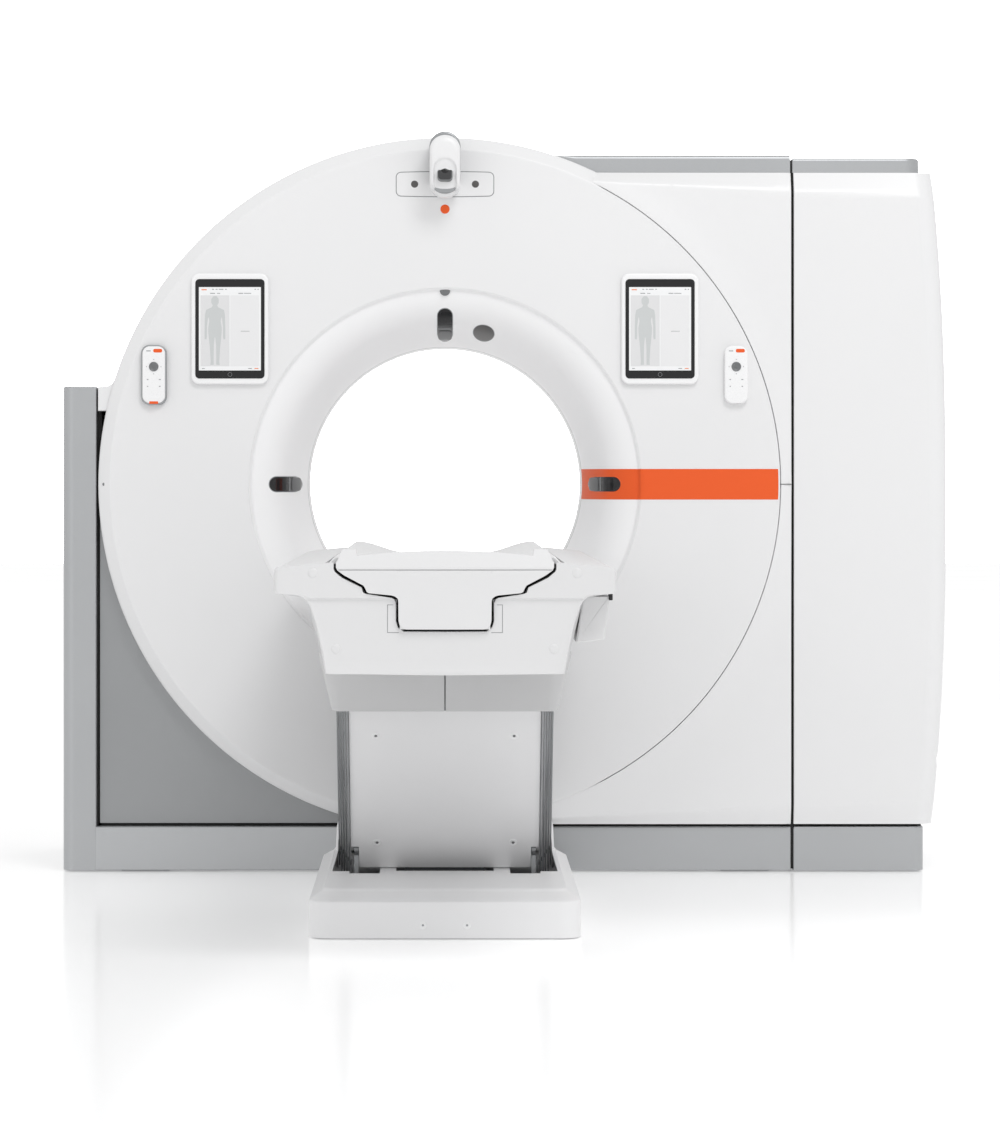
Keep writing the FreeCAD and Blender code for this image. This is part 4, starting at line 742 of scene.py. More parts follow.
class BuildStripe(Maker):
    """The coloured stripe over the mouth and disc, and the small round mark above the bore."""

    bl_idname = "ct.stripe"
    bl_label = "Coloured stripe"

    def make(self, gantry, table):
        rows = np.linspace(-gantry.band_half, gantry.band_half, 24)[:, None]
        curve = mouth_curve(gantry)[:, 0]
        r = np.concatenate([curve[1:], np.linspace(488, 829, 30)])[None]
        x = np.sqrt(r * r - rows * rows)
        z = np.broadcast_to(AXIS + rows, x.shape)
        front, behind = mouth_skin(gantry, x, z, 0.5), mouth_skin(gantry, x, z, -1.2)
        shape = Shape().grid(front).grid(behind)
        for a, b in ((front[0], behind[0]), (front[-1], behind[-1]),
                     (front[:, 0], behind[:, 0]), (front[:, -1], behind[:, -1])):
            shape.grid(np.stack([a, b]))
        shape.piece("coloured_stripe", BASE, finish("orange"), "grey_key", angle=50)
        Shape().dome(0, AXIS + 684, FACE - .2, 11.5, 1.2, steps=48).piece(
            "round_mark", BASE, finish("orange"), "grey_key")


class BuildSilver(Maker):
    """Silver column, base bars, lower panel and top covers."""

    bl_idname = "ct.silver"
    bl_label = "Silver covers"

    def make(self, gantry, table):
        skin, y, bar_top, outside = finish("silver"), SILVER, 113, -954
        column = rounded(box_outline(outside, y, -870, BACK), (28, 3, 6, 12), 8)
        bar = rounded(box_outline(y, FOOT, y + 140, bar_top), (3, 3, 3, 5), 5)
        shape = Shape().plate(column, eased(1211, FOOT, 4), axis="Z")
        shape.plate(bar, [(0.6, -872), (0, -871), (0, 861), (0.8, 862)], axis="X")
        shape.piece("column_and_base_skin", BASE, skin, "silver_cover", ["column_and_base_cover"])
        right = rounded(box_outline(869, y, 1195, BACK), (3, 28, 28, 3), 8)
        Shape().plate(right, eased(bar_top, FOOT, 4), axis="Z").piece(
            "right_base_skin", BASE, skin, "silver_cover", ["right_base_cover"])

        side, down = gantry.body_left - 3.5, AXIS - gantry.low
        first, corner = np.pi, np.pi + np.arctan2(down, side)
        angle = spread([first, corner, np.pi + np.arcsin(down / gantry.rim)], 60)
        reach = frame_reach(angle, side, down, down)
        start = np.minimum(gantry.rim - 12, reach - 0.5)
        s = np.linspace(0, 1, 14)[None]
        r = start[:, None] + (reach - start)[:, None] * s
        x, z = r * np.cos(angle)[:, None], AXIS + r * np.sin(angle)[:, None]
        sheet = np.stack([x, np.full_like(x, FACE + 60), z], -1)
        # The panel takes the darker silver: painted shade under the disc.
        Shape().block(sheet, FACE + 65).piece(
            "lower_left_panel_skin", BASE, finish("silver_painted_shade"), "silver_cover",
            ["lower_left_panel"], bevel=0.8)

        x = np.concatenate([np.linspace(271, 385, 20), np.linspace(400, 861, 6)])
        low = np.maximum(AXIS + np.sqrt(np.maximum(864.5 ** 2 - x * x, 0)), gantry.shoulder)
        high = 1788.0
        y += 1
        rings = np.stack([
            lifted(rounded(box_outline(y, a, BACK, high),
                           (0.3, 0.3, 2, min(9, (high - a) * 0.45)), 5, 0.2), b, "X")
            for a, b in zip(np.minimum(low, high - 2.5), x)
        ])
        Shape().tube(rings).piece("top_skin", BASE, skin, "silver_cover", ["top_cover"])
        cap = rounded(box_outline(866, y, 1185, BACK), (3, 38, 38, 3), 8)
        Shape().plate(cap, eased(1781, gantry.shoulder, 7), axis="Z").piece(
            "right_top_skin", BASE, skin, "silver_cover", ["right_top_cap"])


class BuildBody(Maker):
    """Upper shroud behind the disc and the bowed right housing."""

    bl_idname = "ct.body"
    bl_label = "Body covers"

    def make(self, gantry, table):
        rim, wall = gantry.rim - 1, 5
        section = rounded([(rim, LAP), (rim, BACK), (rim - wall, BACK), (rim - wall, LAP)], 1, 3, 0.3)
        shape = Shape().lathe(section, 63.5, 163.8, 200)
        shape.plate(shoulder_outline(gantry), [(0, LAP), (0, BACK)])
        shape.piece("upper_shroud_skin", BASE, finish("cover"), "white_cover", ["upper_shroud"])

        z = np.concatenate([[gantry.low], np.linspace(gantry.low + 1, 186, 14), np.linspace(200, 1660, 90),
                            np.linspace(1672, gantry.shoulder - 1, 18), [gantry.shoulder]])
        middle, half_height = 932, 812
        u = (z - middle) / half_height
        reach = 1216 + gantry.bulge * (1 - abs(u) ** 2.4)
        reach -= 3.5 * np.exp(-(((z - 507) / 3.5) ** 2)) + 3 * step(268, 272, z) * (1 - step(288, 292, z))
        front, left = FACE + 16, gantry.wing + 7
        rings = []
        for high, wide in zip(z, reach):
            ring = rounded(box_outline(left, front, wide, BACK), (2, 46, 24, 3), 10)
            near = step(-260, -330, ring[:, 1])
            drop = bevel_drop(ring[:, 0], high, gantry) * near
            rings.append(np.stack([ring[:, 0], ring[:, 1] + drop, np.full(len(ring), high)], 1))
        Shape().tube(np.stack(rings)).piece(
            "right_side_skin", BASE, finish("cover"), "white_cover", ["right_side_cover"], angle=28)
        # Near black strips in the gaps between the covers: painted shade.
        gaps = Shape()
        front, back, low = FACE + 66, BACK - 4, 8
        for x0, x1, y0, high in ((858, 872, front - 20, 1776), (-874, -858, front, 1204)):
            upright = rounded(box_outline(x0, y0, x1, back), 1, 2)
            gaps.plate(upright, [(0, low), (0, high)], axis="Z")
        flat = rounded(box_outline(front, 110, back, 124), 1, 2)
        gaps.plate(flat, [(0, -866), (0, 1190)], axis="X")
        gaps.piece("cover_joints", BASE, finish("gap"), "black_plastic")


# ------------------------------------------------------------------ instruments


class BuildSensors(Maker):
    """Sensor plate and camera head above the bore."""

    bl_idname = "ct.sensors"
    bl_label = "Sensor plate and camera"

    def make(self, gantry, table):
        plate_z = AXIS + 746
        base = even(rounded(box_outline(-120.5, -28.5, 120.5, 28.5), 11, 8), 220)
        bowed = base * np.stack([np.ones(len(base)), 1 + 0.07 * (1 - (base[:, 0] / 120.5) ** 2)], 1)
        bowed = bowed + (0, plate_z)
        Shape().plate(inset(bowed, -1.8), eased(FACE - 0.3, FACE + 6, 0.2, 2)).piece(
            "sensor_plate_seam", BASE, finish("line"), "black_plastic")
        Shape().plate(bowed, eased(FACE - 0.9, FACE + 5, 0.7, 3)).piece(
            "sensor_plate_skin", BASE, finish("cover"), "white_cover", ["sensor_plate"])
        eyes = Shape().dome(-75.6, plate_z, FACE - 0.8, 9, 1.2).dome(75.6, plate_z, FACE - 0.8, 9, 1.2)
        eyes.piece("sensor_eyes", BASE, finish("oval"), "black_glass")

        shape, middle, reach = stadium(76, 151), AXIS + 785, FACE - 118
        q = np.sin(np.linspace(np.pi / 2, 0.02, 40))[:, None, None]
        flat = shape[None] * q + (0, middle)
        x, z = flat[..., 0], flat[..., 1]
        hold = 1 - q[..., 0]
        edge_round = 13 * (1 - np.sqrt(1 - np.clip(1 - hold / 0.30, 0, 1) ** 2.2))
        inside = 30 - np.hypot(x, np.maximum(z - 1741, 0))
        hood = step(-2, 5, inside) * (2 + 0.30 * np.maximum(1775 - z, 0))
        slant = 0.13 * np.maximum(1775 - z, 0)
        y = reach + edge_round + np.maximum(hood, slant)
        skirt = np.stack([shape[:, 0], np.full(len(shape), FACE - 0.5), shape[:, 1] + middle], -1)
        rings = np.concatenate([skirt[None], np.stack([x, y, z], -1)])
        Shape().tube(rings).piece(
            "camera_head_skin", BASE, finish("cover"), "white_cover", ["camera_head"], angle=60)
        band = even(stadium(77, 154), 96) + (0, middle + 8.5)
        Shape().plate(band, eased(FACE - 92, FACE - 0.5, 5)).piece(
            "camera_trim", BASE, finish("trim"), "bare_aluminium")
        lens = rounded(box_outline(-17, -24, 17, 24), 9, 8)
        ring = Shape().plate(inset(lens, -1.6), eased(0.4, 12, 0.8, 3))
        glass = Shape().plate(lens, eased(-0.6, 10, 1.5, 4))
        iris = Shape().dome(0, 2, -0.4, 9.5, 1.6).dome(0, 2, -1.2, 5, 1.6)
        tilt = -np.arctan(0.30)
        place = (0, reach + 12.5, 1740)
        ring.moved(tilt, place).piece("lens_frame", BASE, finish("key"), "grey_key")
        glass.moved(tilt, place).piece("lens_cover", BASE, finish("lens"), "black_glass")
        iris.moved(tilt, place).piece("lens_iris", BASE, finish("glass"), "black_glass")


def figure_outline():
    """A plain standing figure, its right half mirrored: head, shoulders, arm, hip and leg."""
    half = [(0, 80), (3, 50), (3.4, 12), (3, 2), (12, 1), (11, 10), (13, 45), (17, 82), (17.5, 95),
            (14.5, 113), (17, 128), (20.5, 100), (20.5, 74), (22, 66), (26.5, 68), (26.5, 96), (25.5, 128),
            (23, 142), (8, 149), (5.5, 154), (9.5, 160), (9.5, 170), (4, 177)]
    right = np.array(half, float)
    left = right[1:][::-1] * (-1, 1)
    return rounded(np.vstack([right, left]), 0.9, 3, 0.1)


def bars(shape, rows, y, x, z):
    """Small rounded bars given as (centre x, centre z, width, height)."""
    for cx, cz, wide, high in rows:
        a, b = wide / 2, high / 2
        outline = rounded(box_outline(-a, -b, a, b), min(a, b) * 0.6, 3, 0.05) + (x + cx, z + cz)
        shape.plate(outline, eased(y, y + 0.3, 0.08, 1))
    return shape


class BuildTablets(Maker):
    """The two tablets in their white frames."""

    bl_idname = "ct.tablets"
    bl_label = "Tablets"

    def make(self, gantry, table):
        trays, cases, screens, panels, sides = Shape(), Shape(), Shape(), Shape(), Shape()
        figures, marks, accents, rings = Shape(), Shape(), Shape(), Shape()
        z, front = AXIS + 386, FACE - 14
        for x in (-534, 534):
            outline = rounded(box_outline(-96, -138, 96, 138), 20, 10) + (x, z)
            trays.plate(outline, eased(front, FACE + 1, 5, 6))
            case = rounded(box_outline(-86, -123.5, 86, 123.5), 10, 8) + (x, z)
            cases.plate(case, eased(front - 1.2, front + 2, 0.8, 3))
            level = front - 1.2
            rect = rounded(box_outline(-77, -103.5, 77, 103.5), 1, 2, .2) + (x, z)
            screens.plate(rect, eased(level - 0.15, level + 1, 0.1, 1))
            left = rounded(box_outline(-73, -93, -1, 83), 1, 2, .2) + (x, z)
            panels.plate(left, eased(level - 0.3, level, 0.1, 1))
            right = rounded(box_outline(1, -93, 73, 83), 1, 2, .2) + (x, z)
            sides.plate(right, eased(level - 0.3, level, 0.1, 1))
            figures.plate(figure_outline() * 0.97 + (x - 37, z - 91), [(0, level), (0, level - 0.45)])
            rows = [(-43, 88, 12, 2), (-28, 88, 8, 1.6), (27, 88, 12, 2), (44, 88, 18, 1.6),
                    (-42, 98, 5, 1.8), (-33, 98, 5, 1.8), (-22, 98, 12, 1.8), (-10, 98, 4, 1.8),
                    (63, 98, 4, 2), (70, 98, 3, 2), (38, -6, 22, 1.2), (50, -98.5, 9, 1.8),
                    (-66, -98.5, 7, 1.6)]
            bars(marks, rows, level - 0.45, x, z)
            bars(accents, [(-64, 97, 13, 2.4), (66, -98.5, 10, 2)], level - 0.45, x, z)
            button = rounded(box_outline(4.4, level, 5.4, level - 0.4), 0.15, 2, 0.02)
            rings.lathe(button, x=x, z=z - 113.5, steps=40)
        trays.piece("tablet_frames", BASE, finish("tray"), "white_cover", ["tablet_trays"])
        cases.piece("tablet_glass", BASE, finish("glass"), "black_glass", ["tablets"])
        screens.piece("tablet_screens", BASE, finish("screen"), "black_glass")
        panels.piece("screen_left_panels", BASE, finish("panel"), "black_glass")
        sides.piece("screen_right_panels", BASE, finish("side"), "black_glass")
        figures.piece("screen_figures", BASE, finish("figure"), "black_glass")
        marks.piece("screen_marks", BASE, finish("mark"), "grey_key")
        accents.piece("screen_accents", BASE, finish("orange_soft"), "grey_key")
        rings.piece("tablet_buttons", BASE, finish("key"), "grey_key")


class BuildRemotes(Maker):
    """The two hand controls and their ring keys."""

    bl_idname = "ct.remotes"
    bl_label = "Hand controls"

    def make(self, gantry, table):
        bodies, holders, lines, accents = Shape(), Shape(), Shape(), Shape()
        z, front = AXIS + 272, FACE - 18
        for side in (-1, 1):
            x = side * 723
            shell = rounded(box_outline(-29, -71.5, 29, 71.5), 19, 10) + (x, z)
            grow = rounded(box_outline(-32, -75, 32, 74), 21, 10) + (x, z)
            if side < 0:
                holders.plate(grow, eased(front + 5, FACE + 1, 2, 4))
                bodies.plate(inset(shell, 0.8), eased(front, FACE + 1, 3.5, 5))
                accents.plate(rounded(box_outline(-11, -72.4, 11, -66), 1, 3) + (x, z),
                              eased(front - 0.3, front + 5, 0.4, 2))
            else:
                bodies.plate(shell, eased(front, FACE + 1, 4, 6))
            bars(lines, [(-13, 59, 11, 2.4), (-15, -12, 4, 2.4), (15, -12, 5, 2.4), (-15, -29, 3, 2.4),
                         (15, -29, 4, 2.4), (0, 38, 3, 1.5), (0, 2, 3, 1.5), (-18, 20, 1.5, 3),
                         (18, 20, 1.5, 3)], front - 0.25, x, z)
            accents.plate(rounded(box_outline(-1, 55, 21, 64), 3.5, 5) + (x, z),
                          eased(front - 0.3, front + 1, 0.2, 2))
            key = np.array([(0.01, -0.9), (3, -0.8), (3.3, -0.2), (6.5, -0.1), (8.8, -1.2), (11, -1.9),
                            (11.8, -1.2), (11.9, 1), (11.9, 3.3), (0.01, 3.3)]) + (0, front)
            Shape().lathe(key, x=x, z=z + 20, steps=64).piece(
                f"ring_key_{'left' if side < 0 else 'right'}", f"key_{'left' if side < 0 else 'right'}",
                finish("key"), "grey_key", [f"remote_key_{'left' if side < 0 else 'right'}"], angle=50)
        bodies.piece("hand_control_bodies", BASE, finish("tray"), "white_cover", ["remote_controls"])
        holders.piece("hand_control_holder", BASE, finish("trim"), "bare_aluminium")
        lines.piece("hand_control_marks", BASE, finish("mark"), "grey_key")
        accents.piece("hand_control_accents", BASE, finish("orange"), "grey_key")


# ------------------------------------------------------------------ patient table


def table_section(table):
    """Closed section of one side cover: its outer skin from crown to underside, then its inner one."""
    outer = [(240, 812.4), (246, 812.2), (table.band, 803), (table.band, 751), (table.body, 742),
             (table.foot, 589), (197, 589)]
    inner = [(197, 594), (table.foot - 6, 594), (table.body - 5.5, 747), (table.band - 5, 756),
             (table.band - 5, 799), (240, 807.6)]
    return rounded(outer + inner, (1, 2, 12, 6, 14, 9, 1, 1, 2, 9, 2, 7, 1), 6)


class BuildTableSides(Maker):
    """Side covers of the table body and the accessory holder under the right side."""

    bl_idname = "ct.table_sides"
    bl_label = "Table sides"

    def make(self, gantry, table):
        section = table_section(table)
        for word, side in (("right", 1), ("left", -1)):
            Shape().plate(section * (side, 1), [(0, -table.front + 60.5), (0, -501)]).piece(
                f"table_side_skin_{word}", "table", finish("table"), "table_white",
                [f"table_side_cover_{word}"])
        holder = rounded([(262, 652), (319, 658), (330, 745), (276, 745)], (2, 3, 2, 2), 4)
        Shape().plate(holder, eased(-2535, -2320, 2, 3)).piece(
            "accessory_holder", "table", finish("table"), "table_white")
        Shape().plate(rounded(box_outline(328, 737, 336, 751), 2, 4), eased(-2538, -2500, 1.5)).piece(
            "holder_clip", "table", finish("black"), "black_plastic")


def edge_column(edge, depth):
    """One more column of a face's grid, straight behind one of its edges."""
    return np.stack([edge[:, 0, 0], np.full(len(edge), depth), edge[:, 0, 1]], -1)[:, None]


class BuildTableEnd(Maker):
    """The table's end cover, with the joint round the cradle, screw caps and the hatch outline."""

    bl_idname = "ct.table_end"
    bl_label = "Table end cover"

    def make(self, gantry, table):
        inner = np.array([
            (221.5, 812.9), (221.5, 801), (219, 795.5), (204.5, 783.5), (166, 764.5), (162.5, 754),
            (157, 751.6), (106, 743.5), (100, 740), (97.2, 733), (97, 697), (93.5, 685), (82, 676.8),
            (0, 676.5),
        ])
        outer = np.array([
            (245, 812.2), (336, 804), (340, 799), (340, 780), (340, 756), (337, 751.6), (297, 749),
            (284, 745), (276, 738), (270, 728), (258, 692), (245, 635), (238, 592), (0, 589),
        ])
        stop = np.arange(len(inner))
        at = np.linspace(0, len(inner) - 1, 12 * (len(inner) - 1) + 1)
        track = [np.stack([np.interp(at, stop, line[:, 0]), np.interp(at, stop, line[:, 1])], 1)
                 for line in (inner, outer)]
        a, b = track[0][:, None], track[1][:, None]
        span = np.linalg.norm(b - a, axis=-1)
        r_out, r_in = np.minimum(9, span * 0.4), np.minimum(1.6, span * 0.1)
        t = np.array([0, .1, .3, .6, 1.0])
        near = t[None] * r_in
        far = span - t[::-1][None] * r_out
        middle = r_in + (span - r_out - r_in) * np.linspace(0, 1, 14)[1:-1][None]
        along = np.hstack([near, middle, far])
        flat = a + (b - a) * (along / span)[..., None]
        x, z = flat[..., 0], flat[..., 1]
        dig = 1 - np.clip(along / r_in, 0, 1)
        fall = 1 - np.clip((span - along) / r_out, 0, 1)
        front = -table.front
        depth = front + r_in * (1 - np.sqrt(1 - dig ** 2)) + r_out * (1 - np.sqrt(1 - fall ** 2))
        below_band = 5 * step(744, 739.5, z) * step(0, 1, 1 - fall)
        lip = 2.5 * np.exp(-(((z - 598) / 7) ** 2))
        depth = np.maximum(depth + below_band - lip, front)
        wall = front + 60
        rings = np.concatenate([
            edge_column(a, wall), edge_column(a, front + 3), np.stack([x, depth, z], -1),
            edge_column(b, front + 16), edge_column(b, wall),
        ], 1)
        Shape().grid(rings, loop_v=True).cap(rings[0]).mirrored().piece(
            "table_end_skin", "table", finish("table"), "table_white", ["table_end_cover"], angle=40)
        caps = Shape()
        for x, z, back in ((263, 793, 0), (-263, 793, 0), (217, 642, 5), (-217, 642, 5)):
            caps.dome(x, z, front + back + 0.4, 10, 2.6)
        caps.piece("screw_caps", "table", finish("table"), "table_white")
        lines = Shape()
        path = ((103, 729, 115, 730.2), (113.8, 674, 115, 730), (92, 673.8, 115, 675))
        for x0, z0, x1, z1 in path:
            for side in (1, -1):
                box = np.array(box_outline(x0, z0, x1, z1)) * (side, 1)
                lines.plate(rounded(box, 0.3, 2, 0.05), eased(front + 4.7, front + 8, 0.15, 1))
        lines.piece("hatch_outline", "table", finish("mark"), "grey_key")


class BuildCradle(Maker):
    """Cradle board and its end cap."""

    bl_idname = "ct.cradle"
    bl_label = "Cradle"

    def make(self, gantry, table):
        x = np.linspace(-233, 233, 118)
        w = abs(x)
        top = 800 + 27 * step(95, 214, w) - 15 * step(216, 236, w)
        under = 778.5 + 25 * step(110, 233, w)
        y = np.concatenate([[-2537, -2534, -2526], np.linspace(-2500, -520, 40), [-506, -500]])[:, None]
        nose = 9 * np.exp(-((y + 2537) / 5.0))
        high = np.stack(np.broadcast_arrays(x, y, top - nose * 0.5), -1)
        low = np.stack(np.broadcast_arrays(x, y, under + nose * 0.1), -1)[:, ::-1]
        Shape().tube(np.concatenate([high, low], 1)).piece(
            "cradle_board_skin", "cradle", finish("cradle"), "cradle_shell", ["cradle_board"], angle=50)

        outward = np.concatenate([[90.5, 92.4, 92.8, 94, 99.5], np.linspace(104, 172, 22), [175.5, 177.5],
                                  np.linspace(179, 202, 8), [204.5, 209, 214, 217]])
        x = np.concatenate([-outward[::-1], np.linspace(-86, 86, 40), outward])
        w = abs(x)
        under = np.array([
            (0, 680.6), (78, 680.8), (86, 684), (90.5, 690), (92.4, 698), (92.8, 736), (94, 742),
            (99.5, 746.5), (106, 748.5), (152, 753), (156, 756), (161, 767.5), (200, 788), (214, 798),
            (217, 804),
        ])
        low = np.interp(w, under[:, 0], under[:, 1])
        high = np.where(w < 176.5, 827 + 10 * (1 - (w / 176.5) ** 2), 840 - 26 * step(203, 217.5, w))
        crease = 799.0
        lower = np.linspace(0, 1, 16)[:-1, None]
        upper = np.linspace(0, 1, 12)[:, None]
        bend = np.clip(np.full_like(w, crease), low + 0.5, high - 0.5)
        z = np.vstack([low + (bend - low) * lower, bend + (high - bend) * upper])
        lean = softly((z - crease) / 40) * 40 * 0.42
        y = -table.front - 4 + lean + 1.4 * np.exp(-((z - crease) / 1.4) ** 2)
        sheet = np.stack(np.broadcast_arrays(x, y, z), -1)
        Shape().block(sheet, -table.front + 56).piece(
            "cradle_end_skin", "cradle", finish("cradle"), "cradle_shell", ["cradle_end_cap"], bevel=1.6)
        # A grey line along the crease: painted shade in the bend.
        line = rounded(box_outline(-213, 798.7, 213, 799.5), 0.3, 2, 0.05)
        Shape().plate(line, eased(-table.front - 2.9, -table.front + 3, 0.2, 1)).piece(
            "cradle_crease", "cradle", finish("mark"), "cradle_shell")
        # A near black sheet in the gap round the cradle: painted shade.
        gap_track = np.array([
            (78, 677.2), (92, 683.4), (96.6, 696), (96, 739), (102, 742.6), (156.5, 748.6), (160, 754),
            (166, 764.6), (204.4, 784.8), (218.6, 796.5), (220.4, 802), (220.4, 811),
        ])
        gap_shade_outline = rounded(np.vstack([gap_track, gap_track[::-1] * (-1, 1)]), 1, 3, 0.1)
        Shape().plate(gap_shade_outline, eased(-table.front + 3.5, -table.front + 52, 0.6, 2)).piece(
            "cradle_gap_painted_shade", "cradle", finish("gap"), "black_plastic")


class BuildShroud(Maker):
    """The two halves of the lower shroud."""

    bl_idname = "ct.shroud"
    bl_label = "Lower shroud"

    def make(self, gantry, table):
        for word, side in (("right", 1), ("left", -1)):
            t = np.linspace(0, np.pi / 2, 14)
            corner = np.stack([224 + 52 * np.sin(t), -1748 - 52 * np.cos(t)], 1)
            tail = np.array([(278, -900), (279, -590), (272, -566), (256, -561), (1.3, -560.5)])
            path = np.vstack([[(1.3, -1800), (120, -1800)], corner, tail])
            tangent = direction(np.gradient(path, axis=0))
            normal = np.stack([tangent[:, 1], -tangent[:, 0]], 1)
            a = np.linspace(0, np.pi / 2, 6)
            skin = np.vstack([
                np.stack([29 + 6 * (1 - np.sin(a)), 474 + 6 * (1 - np.cos(a))], 1), [(27, 486), (3, 585)],
                np.stack([5 * (1 - np.cos(a)), 597 + 8 * np.sin(a)], 1),
                [(12, 606), (12, 600), (8, 585), (31, 486)],
            ])
            shift, z = skin[:, 0][None], skin[:, 1][None]
            flat = path[:, None] - normal[:, None] * shift[..., None]
            flat[..., 0] = np.maximum(flat[..., 0], 1.3)
            rings = np.stack([flat[..., 0] * side, flat[..., 1], np.broadcast_to(z, flat.shape[:2])], -1)
            # The shroud takes the darkened table white: painted shade.
            Shape().tube(rings).piece(
                f"lower_shroud_skin_{word}", "table", finish("shroud"), "table_white",
                [f"lower_shroud_{word}"], angle=40)
        strip = rounded(box_outline(-1.5, 476, 1.5, 600), 0.3, 2, 0.05)
        Shape().plate(strip, eased(-1772, -1764, 0.2, 1)).piece(
            "shroud_joint", "table", finish("line"), "black_plastic")


class BuildPlate(Maker):
    """The lift's leaning cover plate and its screws."""

    bl_idname = "ct.plate"
    bl_label = "Lift cover plate"

    def make(self, gantry, table):
        half, low, top, skin_y = 212, 26, 470, -26
        tongue, tongue_low = half - 18, -34
        corners = [(tongue, tongue_low), (tongue, low), (half, low), (half, top),
                   (-half, top), (-half, low), (-tongue, low), (-tongue, tongue_low)]
        # The plate takes the lightened table white: painted light.
        Shape().plate(rounded(corners, (2, 2, 2, 4, 4, 2, 2, 2), 4), eased(skin_y, -22, 1.2, 3)).moved(
            table.lean, PIVOT).piece("lift_plate_skin", "front_arm", finish("base"), "table_white",
                                     ["lift_cover_plate"])
        cups, heads = Shape(), Shape()
        cup = np.array([(10, skin_y), (9.2, -26.7), (7.4, -26.9), (5.6, -26.3), (5.2, -25), (10, -25)])
        for x in (-153, 153):
            for z in (39, 344):
                cups.lathe(cup, x=x, z=z, steps=40)
                heads.dome(x, z, -25.9, 3.4, 1.1, steps=24)
        cups.moved(table.lean, PIVOT).piece("plate_screw_cups", "front_arm", finish("tray"), "table_white")
        heads.moved(table.lean, PIVOT).piece("plate_screws", "front_arm", finish("key"), "bare_steel")


def wells():
    """Boxes where the lift passes through the floor cover, as (x, y, z) ranges in millimetres."""
    rows = [((-110, 110), (-1460, -1270), (60, 300))]
    for y in (-1400, -700):
        rows += [((s * 180 - 34, s * 180 + 34), (y - 125, y + 60), (60, 300)) for s in (-1, 1)]
    rows += [((208, 253), (-1472, -913), (60, 300)), ((-253, -208), (-1472, -913), (60, 300))]
    return rows


class BuildTableBase(Maker):
    """Floor cover of the table, opened for the lift."""

    bl_idname = "ct.table_base"
    bl_label = "Table base"

    def make(self, gantry, table):
        half, front, rear = table.base_half, -1980, -800
        outer = rounded(box_outline(-half, front, half, rear), (48, 48, 14, 14), 12)
        inner = rounded(box_outline(-262, -1888, 262, rear - 10), (30, 30, 14, 14), 12)
        mix = np.array([0, 0, 0, .008, .03, .06, .45, .82, .90, .95, 1.0, 1.06])[:, None, None]
        z = np.array([2, 60, 74, 78.5, 80.6, 81.6, 88, 93.6, 95.4, 98.4, 99.8, 100])[:, None]
        flat = outer[None] * (1 - mix) + inner[None] * mix
        skin = lifted(flat, np.broadcast_to(z, flat.shape[:2]), "Z")
        under = np.stack([lifted(inset(outer, 6), 2, "Z"), lifted(inset(outer, 6), 72, "Z"),
                          lifted(inset(inner, 6), 90, "Z"), lifted(inset(inner, 12), 94, "Z")])
        shape = Shape().grid(skin, loop_v=True).cap(skin[-1]).grid(under, loop_v=True).cap(under[-1])
        shape.grid(np.stack([skin[0], under[0]]), loop_v=True)
        y = np.concatenate([np.linspace(-1010, -842, 16), [-830, FACE - 1]])
        rise = 96 + 72 * step(-1000, -840, y)
        width = 262 - 14 * (1 - step(-1010, -860, y))
        rings = []
        for w, h, back in zip(width, rise, y):
            section = rounded([(-w, 60), (w, 60), (w - 5, h), (5 - w, h)], (1, 1, 16, 16), 6)
            rings.append(lifted(section, back, "Y"))
        tail = Shape().tube(np.stack(rings))
        # The floor cover takes the lightened table white: painted light.
        base = shape.piece(
            "table_base_skin", BASE, finish("base"), "table_white", ["table_base_cover"], angle=32)
        hump = tail.piece("table_base_tail", BASE, finish("base"), "table_white", angle=32)
        knife = Shape()
        for x, y, z in wells():
            outline = rounded(box_outline(x[0], y[0], x[1], y[1]), 3, 3)
            knife.plate(outline, [(0, z[0]), (0, z[1])], axis="Z")
        cutter = bpy.data.objects.new("well_cutter", knife.mesh("well_cutter"))
        bpy.context.scene.collection.objects.link(cutter)
        for obj in (base, hump):
            opened(obj, cutter, 32)
        bpy.data.objects.remove(cutter)
        screws, centres = Shape(), Shape()
        for x in (-47, 47):
            screws.dome(x, 30, front + 0.6, 9, 2.4)
            centres.dome(x, 30, front - 1.4, 2.6, 0.8, steps=20)
        screws.piece("base_screws", BASE, finish("tray"), "table_white")
        centres.piece("base_screw_centres", BASE, finish("mark"), "grey_key")


def opened(obj, cutter, angle):
    """Cuts one mesh by another and keeps the result as the object's own mesh."""
    cut = obj.modifiers.new("wells", "BOOLEAN")
    cut.object, cut.operation, cut.solver = cutter, "DIFFERENCE", "EXACT"
    cut.use_self = True
    bpy.context.view_layer.update()
    shown = obj.evaluated_get(bpy.context.evaluated_depsgraph_get())
    mesh = bpy.data.meshes.new_from_object(shown)
    obj.modifiers.clear()
    obj.data = mesh
    mesh.set_sharp_from_angle(angle=np.radians(angle))


# ------------------------------------------------------------------ frame finishes and stage


FRAME_FINISHES = {
    "cover": ["rear_cover"],
    "steel": ["levelling_feet", "guide_rails", "feed_rack", "bearing_outer_ring", "bearing_inner_ring"],
    "slat": ["side_slats_1", "side_slats_2", "side_slats_3", "side_slats_4", "side_slats_5"],
    "aluminium": ["rotor_drum", "collimator", "detector_arc", "table_chassis"],
    "dark_metal": ["balance_weights", "xray_tube", "lift_gear_motor"],
    "frame": ["gantry_base_frame", "stator_frame", "control_cabinet", "hv_generator", "tube_cooler",
              "data_module", "front_arm_frame", "rear_arm_frame"],
    "black": ["brush_block", "fan_housing", "cooling_fan"],
    "brass": ["slip_ring"],
    "trim": ["table_floor_frame"],
    "cradle": ["cradle_keel"],
}


